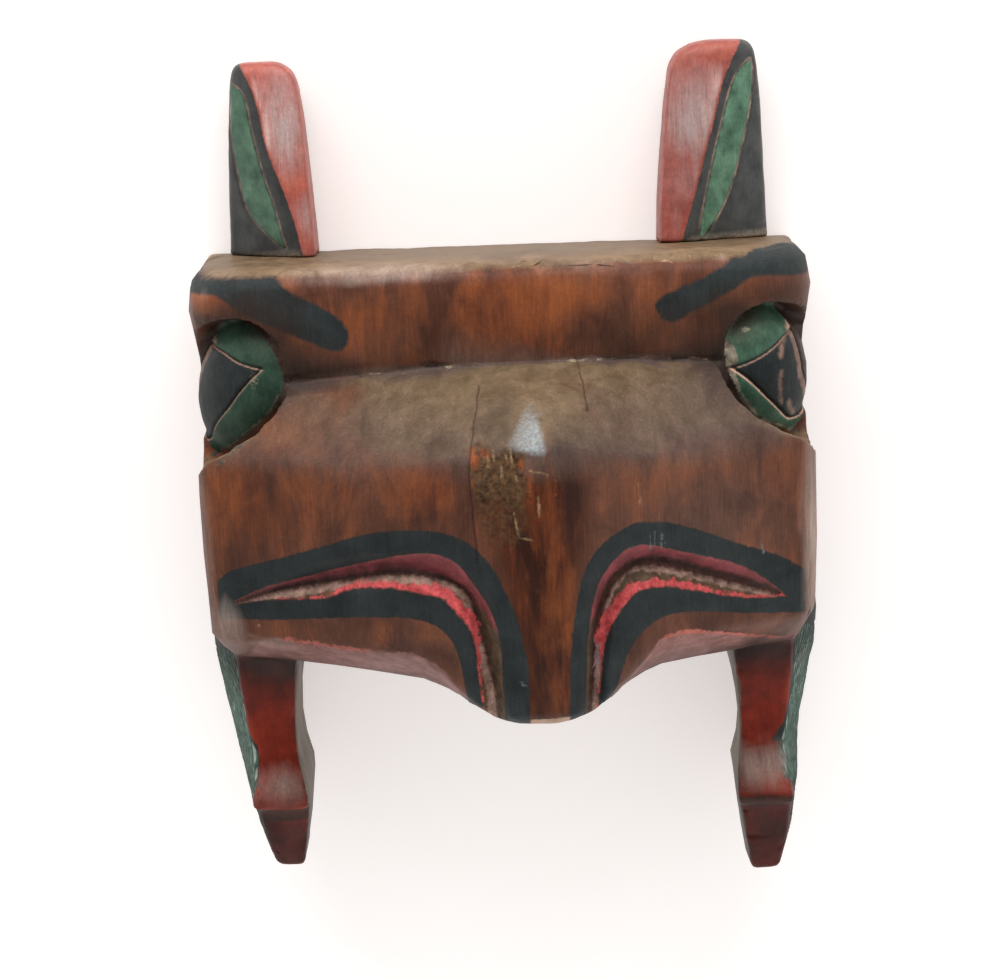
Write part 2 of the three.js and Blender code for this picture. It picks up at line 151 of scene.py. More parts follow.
def flatness(piece):
    """How well each point's normal agrees with those round it, 1 on a flat place."""
    normals = points_of(piece)[1]
    first, second = edge_ends(piece)
    worst = np.ones(len(normals))
    turn = (normals[first] * normals[second]).sum(1)
    for end in (first, second):
        np.minimum.at(worst, end, turn)
    spread = worst.copy()
    np.minimum.at(spread, first, worst[second])
    np.minimum.at(spread, second, worst[first])
    return spread


def bulge(piece, rounds):
    """How far each point stands out from its neighbours, spread over some rounds of them."""
    places, normals = points_of(piece)
    first, second = edge_ends(piece)
    joined = np.bincount(np.concatenate((first, second)), minlength=len(places))[:, None]

    def spread(values):
        total = np.zeros_like(values)
        np.add.at(total, first, values[second])
        np.add.at(total, second, values[first])
        return total / np.maximum(joined, 1)

    around = places
    for _ in range(rounds):
        around = (around + spread(around)) / 2
    return ((places - around) * normals).sum(1)


def ripple(places, size, seed=0):
    """Smooth random height, about -1 to 1, with waves of the given size or sizes."""
    scaled = places / np.array(size) + seed * 17.3
    return np.array([noise.noise(point) for point in scaled])


def rounded(points, steps=5):
    """A smooth line through the given points."""
    points = np.array(points, float)
    padded = np.vstack((2 * points[0] - points[1], points, 2 * points[-1] - points[-2]))
    line = []
    for before, start, end, after in zip(padded, padded[1:], padded[2:], padded[3:]):
        for step in range(steps):
            t = step / steps
            line.append(0.5 * (2 * start + (end - before) * t
                               + (2 * before - 5 * start + 4 * end - after) * t ** 2
                               + (3 * start - before - 3 * end + after) * t ** 3))
    return np.array(line + [points[-1]])


def closed(outline, steps=5):
    """A smooth line round an outline and back to its first point."""
    return rounded(outline + outline[:1], steps)


def away_from(x, y, line):
    """Distance of each place to a line of points."""
    nearest = np.full(len(x), 1e6)
    for (ax, ay), (bx, by) in zip(line, line[1:]):
        length = (bx - ax) ** 2 + (by - ay) ** 2 or 1
        t = np.clip(((x - ax) * (bx - ax) + (y - ay) * (by - ay)) / length, 0, 1)
        nearest = np.minimum(nearest, np.hypot(x - ax - t * (bx - ax), y - ay - t * (by - ay)))
    return nearest


def inside(x, y, outline):
    """Distance of each place to a closed outline, positive inside it."""
    ring = np.vstack((outline, outline[:1]))
    within = np.zeros(len(x), bool)
    for (ax, ay), (bx, by) in zip(ring, ring[1:]):
        if ay != by:
            within ^= ((ay > y) != (by > y)) & (x < (bx - ax) * (y - ay) / (by - ay) + ax)
    return np.where(within, 1, -1) * away_from(x, y, ring)


def fade(values, start, width):
    """0 up to the start and 1 from a width beyond it, which lies the other way if it is negative."""
    return np.clip((values - start) / width, 0, 1)


def near(values, middle, reach):
    """1 at the middle, falling to 0 a reach away on either side."""
    return np.clip(1 - np.abs(values - middle) / reach, 0, 1)


def hollow_walls(places, normals, least):
    """Which points are on the hollow's walls, because they face its middle at least so well."""
    x, y, z = places.T
    towards = np.array(HOLLOW_CENTRE) - places
    facing = (towards * normals).sum(1) / np.linalg.norm(towards, axis=1)
    return (facing > least) & (y > HOLLOW_LOW_Y) & (np.abs(x) < HOLLOW_HALF_WIDTH) & (z < HOLLOW_TOP_Z)


def keep_field(piece, name, values):
    """Stores one number for each point, which the material reads by its name."""
    field = piece.data.attributes.new(name, "FLOAT", "POINT")
    field.data.foreach_set("value", np.asarray(values, np.float32))


def eye_frame(places, side):
    """Places in an eyeball's own frame: inwards along the lid, up it, and out of it."""
    turn = Matrix.Rotation(math.radians(side * EYE_TURN), 3, "Y")
    lean = Matrix.Rotation(math.radians(side * EYE_LEAN), 3, "Z")
    own = (places - np.array((side * EYE_X, EYE_Y[side], EYE_Z))) @ np.array(turn @ lean)
    own[:, 0] *= -side
    return own


# Outlines on the front, in millimetres, measured where the paint and the cuts lie on the wood.
LIPS = {
    -1: {
        "outer": ((-110, -22), (-105, -18), (-95, -14.4), (-81, -9.8), (-67, -5), (-53, 0), (-40, 2.5),
                  (-27, 3), (-18, 1), (-12.5, -2.5), (-6.8, -9), (-2.3, -18.7), (0.9, -27.6),
                  (3, -38.6), (4.4, -48.5), (4.1, -69), (4, -82)),
        "upper": ((-104, -29.5), (-91, -23), (-77, -18.9), (-63, -14.3), (-49, -9.6), (-36, -6.2),
                  (-26, -5.5), (-19, -9), (-13, -17.5), (-7.5, -27), (-5.5, -38), (-5, -52.5),
                  (-4.8, -65.6), (-4.8, -82)),
        "groove": ((-106.3, -31.1), (-91, -25.5), (-77, -22), (-59, -18), (-41, -14.4), (-28, -15.2),
                   (-19, -17.9), (-15, -23.2), (-11.6, -38.6), (-8.6, -52.7), (-7.6, -64.6), (-7.6, -82)),
        "lower": ((-104, -31), (-87, -27.5), (-69, -25.5), (-59, -21.6), (-46, -19.7), (-33, -20.5),
                  (-25.5, -22), (-19.6, -28), (-15.6, -34), (-14.2, -41), (-14, -48), (-12.7, -64),
                  (-12.5, -82)),
        "inner": ((-110, -37), (-94, -36), (-78, -34.4), (-60, -32), (-42, -30.4), (-31, -31.4),
                  (-24, -35.7), (-20.4, -44), (-19.3, -51.5), (-18, -62), (-18, -82)),
    },
    1: {
        "outer": ((110, -27.5), (102, -22), (94, -17.5), (82, -11.7), (70, -5.4), (59, -0.4), (50, 1.9),
                  (44, 2.3), (38, 0), (32, -3.2), (27, -8.8), (24, -16), (21.5, -27), (20, -38),
                  (18.9, -55), (18.5, -70), (18.5, -82)),
        "upper": ((101, -35.5), (90, -25), (77.5, -17.7), (60, -11), (50, -7), (44, -6), (39, -8),
                  (33, -14), (29.3, -21), (26.8, -32), (25.3, -47), (24.5, -67), (24.5, -82)),
        "groove": ((102.6, -37), (93, -31.6), (81, -26.5), (70, -22), (58, -16.5), (46, -13.4),
                   (39, -15.7), (33, -22.9), (29.6, -34.7), (27.8, -50), (26.7, -66.7), (26.7, -82)),
        "lower": ((102.5, -36.9), (89, -35), (77, -31.4), (65, -27), (54, -23.3), (44.7, -23.3),
                  (38, -30), (33, -38.5), (30.7, -52.7), (29.3, -67), (29.3, -82)),
        "inner": ((110, -44.5), (100, -43), (85, -40), (69, -36), (57, -34.5), (50, -36.5), (44, -41.6),
                  (39.6, -49), (36.5, -58), (34, -66.5), (34, -82)),
    },
}
# Each brow in millimetres round the corner: across the front and on along the side, and upwards.
BROWS = {
    -1: ((56.5, 67), (60, 72.5), (68, 77.7), (77.6, 83), (88, 89.5), (100, 93), (112, 94), (145, 92),
         (168, 82), (150, 81), (123, 82), (113, 82), (107, 80.6), (97.7, 76.4), (91, 72.8), (84, 69.6),
         (76.7, 66.2), (69, 62.4), (62, 59.8), (58, 61.5)),
    1: ((57, 71.9), (59.9, 75.3), (66, 78), (75.3, 81.5), (86, 86.8), (93, 89.5), (112, 96), (145, 94),
        (168, 82), (150, 80), (124, 79.4), (101, 81.1), (92.7, 80.2), (85.6, 76.1), (78.4, 72.4),
        (69.8, 68.3), (64.2, 65.5), (59.7, 66.8)),
}
EYE_RIMS = {
    -1: ((-124, 72), (-111.3, 72.5), (-107, 73), (-95.9, 69.6), (-89.3, 65.2), (-85.7, 59.3), (-83.6, 53.6),
         (-83.4, 47), (-86.9, 39.7), (-91, 35.3), (-94.6, 32), (-98.6, 29), (-102.7, 25), (-110.1, 19.5),
         (-116, 16.5), (-124, 15)),
    1: ((124, 63), (112.8, 65), (109.8, 67), (105.6, 68.4), (100.1, 68.6), (93.7, 67.5), (87.5, 63.8),
        (84.4, 58.9), (84, 52), (84.8, 47), (86.8, 42), (89.6, 36), (93.1, 30.5), (97.1, 26), (104, 22),
        (113.6, 16), (124, 13)),
}
# The black almond of each eye in the eyeball's own frame, from its inner point round the top.
ALMONDS = {
    -1: ((11.6, 18.6), (2.6, 16.2), (-7.5, 14.2), (-20, 8.4), (-21.5, 0), (-19.5, -9), (-14.5, -17.5),
         (-8.5, -23.5), (-3, -25), (2.8, -11.3), (6.6, -2.1), (8.7, 6.5)),
    1: ((17, 15), (9.6, 14), (0.4, 12.8), (-8.6, 11.6), (-19.3, 6.6), (-21.3, -1), (-19.5, -9),
        (-14.5, -17), (-8, -22.5), (-1.5, -23.5), (5.4, -18), (10, -8.8), (13.3, 0.2)),
}
# Where the paint of each eye ends round the corner: heights in its frame, and the place there.
EYE_END = {-1: ((-25, 20), (-18.5, -18.5)), 1: ((-22, -5, 11), (-11, -8.5, -15.5))}
LEG_PAINT = {
    -1: ((-106.9, -58), (-107.4, -71), (-106.6, -90), (-105.3, -104.5), (-105.5, -118), (-106, -130),
         (-99, -158), (-84, -158), (-82, -120), (-85, -113), (-87.2, -103), (-87.4, -91), (-86.2, -72),
         (-84.5, -58)),
    1: ((107.6, -58), (107.9, -84), (106.8, -98), (105, -111), (105.2, -119), (108, -130), (106, -168),
        (86, -168), (83.5, -130), (85.4, -119), (88, -111.7), (88.3, -95), (87.9, -80), (86, -68)),
}
BEVEL_EDGE = {
    -1: ((-115, -70), (-103, -58), (-97, -48), (-89, -43), (-70, -44), (-47, -45), (-38, -44.6),
         (-29.6, -48), (-25, -52), (-22, -58), (-19, -70)),
    1: ((115, -60), (102, -58), (91, -54), (78, -47.5), (65, -43), (55, -43), (50.6, -46),
        (46, -54), (42, -60), (36, -72)),
}
# Strokes where the beak was hit and scraped, and under the knuckle one thin painted highlight: half a
# width, then the places it passes through.
PALE_STROKES = (
    (0.3, (-7.2, 30.5), (-7.1, 27)), (0.25, (-5, 32.2), (-4.8, 29)), (0.3, (-2.5, 27.8), (-2.4, 24)),
    (0.25, (1.1, 32.8), (1.3, 28)), (0.2, (-0.6, 31), (-0.5, 29)), (0.2, (2.4, 25.6), (2.6, 22.5)),
    (0.15, (7.5, 25.6), (11, 25), (13.6, 24)), (0.3, (10.1, 16.3), (10.3, 9.2)),
    (0.25, (1.4, 11), (2.5, 2.4), (7.6, 1.3)), (0.2, (46, 17), (46.6, 8)),
    (0.6, (-94.9, -38.6), (-94.8, -38.4)), (1.2, (-7.6, -78), (-5.9, -78.5)),
)
SCRATCHES = ((0.12, (49.7, -2.5), (50, -9)), (0.12, (51.2, -1.5), (51.4, -8)),
             (0.2, (53.7, -1.5), (54, -9)), (0.12, (55.2, -3), (55.2, -7)),
             (0.25, (92.5, -14), (93, -18)), (0.5, (1.5, -52), (3, -54)))
RAW_PATCH = ((-13.5, 31.5), (-9, 33.5), (-5, 31.5), (0, 33), (5, 30.5), (6.5, 22), (5.8, 14), (4, 4),
             (-3, 0), (-9, 4), (-11, 14), (-13.2, 24))
KNUCKLE_HIGHLIGHT = ((9.5, 51), (6.5, 45), (2, 38), (-3, 33), (5, 31), (13, 29.5), (14.2, 33), (11.5, 43))
EYE_STREAKS = ((1.1, (107.5, 63), (106, 57), (104.5, 50)), (0.5, (104.5, 44), (104.2, 36), (105, 31)),
               (0.9, (108, 31), (110, 26)))
CRACKS = (((-9, 48), (-9.5, 45.8), (-12.5, 35), (-13.7, 24.5), (-13, 8.4), (-12, -7.7)),
          ((27.2, 54), (27.9, 51.5), (28.9, 47.4), (29.4, 40.9)),
          ((9.4, 18.1), (9, 9.9)),
          ((1, 9), (1.1, 3.2), (6.3, 2.1)))
CREASE = ((-78, 48.6), (-62, 51.6), (-39, 50.2), (-21, 52.3), (-3, 53.3), (18, 53.1), (35, 52.6),
          (54, 53.8), (65, 53.3), (76, 50.6))
SCRAPED = ((-15, 34), (2, 47), (19, 44), (19, 6), (10, -3), (-6, -2), (-15, 10))
# A paint's distances are scaled by its share here, so that a smaller one gives a softer edge.
PAINT_SOFTNESS = {"brow": 0.3, "lip": 0.6, "low_red": 0.45, "groove_shade": 0.25, "groove_dust": 0.5,
                  "bevel": 0.4, "eye_strip": 0.25, "mouth": 0.6, "salmon": 0.4}

head = carved_copy("mask_head", "carved_head", HEAD_GRID)
smooth(head, flatness(head) > EDGE_TURN, PLANE_SMOOTHING)
smooth(head, np.ones(len(head.data.vertices), bool), 1)

# The top corners are rounded by hand.
x, y, z = points_of(head)[0].T
smooth(head, (np.abs(x) > 98) & (y > 76) & (z > 12), CORNER_SMOOTHING)

# The hollow is plain, so its skin is thinned out, and the finely cut places get twice the points.
places, normals = points_of(head)
on_points(head, hollow_walls(places, normals, 0.2) & (places[:, 2] > 4), bpy.ops.mesh.decimate,
          ratio=HOLLOW_SHARE)

places, normals = points_of(head)
x, y, z = places.T
fine = np.zeros(len(places), bool)
for side in (-1, 1):
    own = eye_frame(places, side)
    radius = np.linalg.norm(own / np.array(EYE_SIZE[side]), axis=1)
    fine |= (radius < 1.25) & (own[:, 2] > -1)
    mouth = np.vstack((rounded(LIPS[side]["upper"], 2), rounded(LIPS[side]["lower"], 2)[::-1]))
    fine |= (inside(x, y, mouth) > -2.5) & (normals[:, 2] > -0.2) & (z > FRONT_LOW_Z) & (y > -75)
    fine |= (y < LEG_TOP_Y) & (y > -150) & (z > 3) & (normals[:, 0] * side > 0.25)
scraped = inside(x, y, closed(SCRAPED, 2)) > 0
for line in CRACKS + (CREASE,):
    scraped |= away_from(x, y, line) < 2
fine |= scraped & (normals[:, 2] > 0) & (z > 70)
on_points(head, fine, bpy.ops.mesh.subdivide, number_cuts=1)

# Knife and adze marks, then the cuts round the almonds, the chips of the brow and the worn beak.
places, normals = points_of(head)
x, y, z = places.T
depth = ADZE_DEPTH * ripple(places, ADZE_WAVE) + KNIFE_DEPTH * ripple(places, KNIFE_WAVE, 1)
hollow = hollow_walls(places, normals, 0)
gouge = np.abs(ripple(places, GOUGE_WAVE, 2))
depth = np.where(hollow, GOUGE_DEPTH * gouge - 0.4, depth)
almond, eye_green, strip = np.full((3, len(places)), -50.0)
eye_rim = -almond
socket = np.zeros(len(places))
for side in (-1, 1):
    own = eye_frame(places, side)
    radius = np.linalg.norm(own / np.array(EYE_SIZE[side]), axis=1)
    ball = (1.06 - radius) * EYE_SIZE[side][2]
    rim = inside(x, y, closed(EYE_RIMS[side], 3))
    on_ball = (x * side > 70) & (own[:, 2] > -2) & (np.abs(own[:, 1]) < 31)
    end = own[:, 0] - np.interp(own[:, 1], *EYE_END[side])
    green = np.minimum(np.minimum(ball + 0.3, rim + 1), end)
    strip = np.where(on_ball, np.minimum(2.3 - np.abs(end - 2.2), 17 - np.abs(own[:, 1] + 4)), strip)
    # The moat round each eyeball, stronger towards the top, where painted shade goes.
    socket = np.where(on_ball & (ball > -2) & (green < 0), np.clip((y - 30) / 10, 0.3, 1), socket)
    eye_green = np.where(on_ball, np.maximum(eye_green, green), eye_green)
    eye_rim = np.where(on_ball & (z > 45), np.minimum(eye_rim, np.abs(rim)), eye_rim)
    lens = np.minimum(inside(own[:, 0], own[:, 1], closed(ALMONDS[side])), end)
    almond = np.where(on_ball & (ball > -0.5), np.maximum(almond, lens), almond)
line_cut = near(almond, 0, LINE_REACH) * (almond > -20)
depth = np.where(almond > -20, 0.1 * ripple(places, 6, 4), depth) - LINE_DEPTH * line_cut

chips = near(y, CHIP_Y, 3.5) * fade(z, 73, 5)
chips *= np.clip(ripple(places, (7, 6, 6), 5) + 0.25 * ripple(places, 2.4, 6) + 0.12, 0, 1)
depth -= CHIP_DEPTH * chips
raw = inside(x, y, closed(RAW_PATCH, 3)) + 1.6 * ripple(places, 3.5, 7)
raw = np.where(normals[:, 2] > 0.2, raw, -20)
depth -= (np.clip(raw, 0, 2) / 2 * (0.3 + 0.5 * np.abs(ripple(places, (1.8, 7, 1.8), 8)))
          * np.clip((y - 8) / 14, 0.2, 1))
crack = np.full(len(places), 20.0)
for line in CRACKS:
    crack = np.minimum(crack, away_from(x + 0.5 * ripple(places, 6, 9), y, rounded(line, 3)))
crack = np.where((normals[:, 2] > 0) & (z > 70), crack, 20)
depth -= CRACK_DEPTH * near(crack, 0, CRACK_REACH)
front_z = np.interp(-y, *LEG_FRONT_Z)
flank = np.where((np.abs(x) > 100) & (np.abs(normals[:, 0]) > 0.25) & (y < -40), front_z - 2 - z, -20)
panel_end = np.minimum(-62 - y + 0.25 * (z - 50), y + 0.6 * (70 - z) + 150)
panel = np.minimum(np.minimum(flank - np.where(x < 0, 1.2, 3), z - 5), panel_end)
panel = np.where(flank > 0, panel, -20)
# Short gouge cuts in uneven rows run along the leg, each row shifted and spaced in its own way.
row = z / DASH_WIDE + 0.5 * ripple(places, 14, 10)
along = (np.sin(np.floor(row) * 12.99) * 43.7) % 1
dash = ((y + DASH_LONG * along + 1.5 * ripple(places, 7, 11))
        / (DASH_LONG + 2.5 * np.sin(np.floor(row) * 7.7)))
trough = np.sin(np.pi * (row % 1)) * np.sin(np.pi * (dash % 1)) ** 0.5
trough *= np.clip(0.85 + 0.8 * ripple(places, 5, 15), 0.2, 1)
panel_cut = np.where(panel > 0, trough, 0)
depth -= DASH_DEPTH * panel_cut
depth -= PANEL_LINE_DEPTH * near(panel, 0, PANEL_LINE_REACH)
move_points(head, places + normals * depth[:, None])
# Which way each point of an almond's cut line turned: the wall that now faces the light from above gets
# pale wood as a painted highlight, the other wall painted shade.
lit = (points_of(head)[1][:, 1] - normals[:, 1]) * line_cut

# Where hands and years have rubbed the stain to foxy orange, made it shine, bared the wood or scuffed it,
# and spots of painted shade with some soot and of pale painted sheen with some wear: each spot's middle,
# its reach across and up, and its strength.
FOXY = ((-55, 72, 22, 10, 0.45), (2, 74, 30, 12, 0.75), (52, 74, 14, 8, 0.35), (14, -20, 2.4, 70, 0.55),
        (-95, 10, 20, 16, 0.7), (-112, 80, 5, 6, 0.9), (-98, 80, 12, 3, 0.6), (17, 76, 9, 12, 0.7),
        (28, 68, 6, 10, 0.6), (39, 62, 5, 5, 0.8), (-60, 43, 12, 6, 1.0), (-80, 34, 16, 6, 0.9),
        (-30, 18, 12, 10, 0.8), (88, 24, 8, 6, 0.4), (98, 0, 16, 22, 0.3), (8, -5, 2.2, 30, 0.4),
        (17, -40, 3.5, 26, 0.6), (-62, 8, 12, 16, 0.2), (60, 12, 24, 10, 0.35), (-50, -38, 30, 5, 0.25),
        (32, 35, 4, 8, 0.6), (26, 47, 8, 3.5, 0.5), (97, 17, 9, 2.2, 1.0))
SHADE_AND_SOOT_SPOTS = ((-95, -64, 14, 8, 1.3), (95, -66, 14, 7, 1.3), (-95, -128, 16, 2.4, 2.6),
         (95, -129, 16, 2.4, 2.6), (-95, -146, 16, 14, 0.5), (95, -148, 16, 14, 0.5), (-96, 76, 16, 5, 1.0),
         (-84, 68, 10, 9, 0.8), (-72, 58, 10, 8, 0.5), (55, 63, 12, 7, 0.7), (84, 66, 12, 8, 1.0),
         (104, 74, 16, 5, 0.8), (-40, 76, 16, 10, 0.35), (-70, 84, 8, 5, 0.4), (24, 87, 6, 4, 0.7),
         (-3, 40, 8, 7, 0.5), (23, 34, 6, 5, 0.8), (0, 44, 4, 9, 0.5), (-4, 14, 11, 16, 0.2),
         (-40, 25, 30, 3, 0.3), (95, -58, 14, 4, 0.7), (-95, -60, 14, 4, 0.7), (13, -40, 3, 30, 0.6))
PALE_SHEEN_AND_WEAR = ((-116, -12, 3.5, 40, 0.8), (114, -22, 4, 45, 1.3), (-112, -52, 7, 5, 0.7), (-96, -56, 12, 4, 0.5),
        (-45, 88, 26, 3, 0.8), (30, 87, 20, 2, 0.5), (-113, 80, 5, 12, 0.4), (83, 88, 2, 1.2, 0.5),
        (-96, -114, 16, 6, 0.6), (96, -115, 16, 7, 0.9), (-107, -40, 5, 8, 1.0), (-90, -46, 10, 3, 0.5))
GLOSSY = ((8.5, 38, 6, 8, 1.0), (11, -30, 6, 40, 0.4))
ORANGE = ((-12, 29, 2.6, 5, 1.1), (-8, 31, 4, 2.5, 0.9), (-12.6, 22, 1.4, 5, 0.8), (4.5, 28, 2, 3, 1.0),
          (-6.8, 21, 1.5, 4, 0.7), (7.3, 19, 1.3, 7, 0.9), (16.3, 18, 1.3, 7, 0.8), (13, 25, 4, 2, 0.6),
          (8.5, 6, 1.5, 8, 0.5), (-3, 3, 5, 3, 0.4))
SCUFFS = ((91.2, 60.8, 2.4, 1.3, 1.3), (-93, 50, 3, 6, 0.95), (-31, 44.5, 3, 2.5, 1.0),
          (-37, 37, 5, 6, 1.1), (-42, 28, 4, 2.5, 0.6), (-52, 26, 6, 3, 0.5), (-60, 32, 7, 4, 0.4),
          (72, 46, 4, 4, 0.6))


def spots(x, y, places):
    """The strongest of some soft spots at each place, 0 to 1."""
    strongest = np.zeros(len(x))
    for cx, cy, wide, high, strength in places:
        far = ((x - cx) / wide) ** 2 + ((y - cy) / high) ** 2
        strongest = np.maximum(strongest, strength * np.exp(-far / 1.4))
    return strongest


def strokes(x, y, lines):
    """How far each place lies inside the nearest of some drawn strokes, in millimetres."""
    deepest = np.full(len(x), -20.0)
    for half_width, *line in lines:
        deepest = np.maximum(deepest, half_width - away_from(x, y, line))
    return deepest


# Distances inside each painted or cut area, negative outside it, and distances to single lines.
around = np.abs(x) + np.clip(CORNER_Z - z, 0, 200)
lip, gap, low_wall, brow, leg_red, bevel = np.full((6, len(places)), -50.0)
groove, lower_edge, upper_edge = np.full((3, len(places)), 50.0)
for side in (-1, 1):
    lines = {name: rounded(line, 3) for name, line in LIPS[side].items()}
    band = inside(x, y, np.vstack((lines["outer"], lines["inner"][::-1])))
    own_gap = inside(x, y, np.vstack((lines["upper"], lines["lower"][::-1])))
    lip = np.maximum(lip, np.minimum(band, -own_gap))
    gap = np.maximum(gap, own_gap)
    low_wall = np.maximum(low_wall, inside(x, y, np.vstack((lines["groove"], lines["lower"][::-1]))))
    groove = np.minimum(groove, away_from(x, y, lines["groove"]))
    upper_edge = np.minimum(upper_edge, away_from(x, y, lines["upper"]))
    lower_edge = np.minimum(lower_edge, away_from(x, y, lines["lower"]))
    brow = np.where(x * side > 0, inside(around, y, closed(BROWS[side], 3)), brow)
    leg_red = np.maximum(leg_red, inside(x, y, closed(LEG_PAINT[side], 3)))
    edge = rounded(BEVEL_EDGE[side], 3)
    order = np.argsort(edge[:, 0])
    below = np.interp(x, edge[order, 0], edge[order, 1]) - y
    bevel = np.where((x - BEAK_X) * side > 9, below, bevel)
front = (z > FRONT_LOW_Z) & (y > -74)
unpainted = hollow | (z < 1.2) | ((y < LEG_TOP_Y) & (normals[:, 0] * np.sign(x) < -0.45))
# The red at the foot of each mouth grows narrower away from the beak and down beside it.
across = np.abs(x - BEAK_X)
red_left = np.minimum(np.interp(across, (36, 48, 61, 78, 90, 100), (3.8, 2.2, 1.9, 1.1, 0.2, -0.6)),
                      np.interp(-y, (26, 38, 50, 62), (4.5, 2, 0.8, 0.2)))
red_right = np.minimum(np.interp(across, (30, 42, 52, 61, 90), (4.2, 3, 2.4, 1.6, 0.7)),
                       np.interp(-y, (30, 37, 44, 50), (7, 5, 1.2, 0.6)))
red_wide = np.where(x < 0, red_left, red_right)
maroon_wide = np.where(across < 36, np.interp(-y, (12, 24, 36), (9, 4.5, -1)), 9)
spread = bulge(head, 5)
beak_tip = (z > 110) * fade(np.abs(x - 14), 10.5, -1.5)
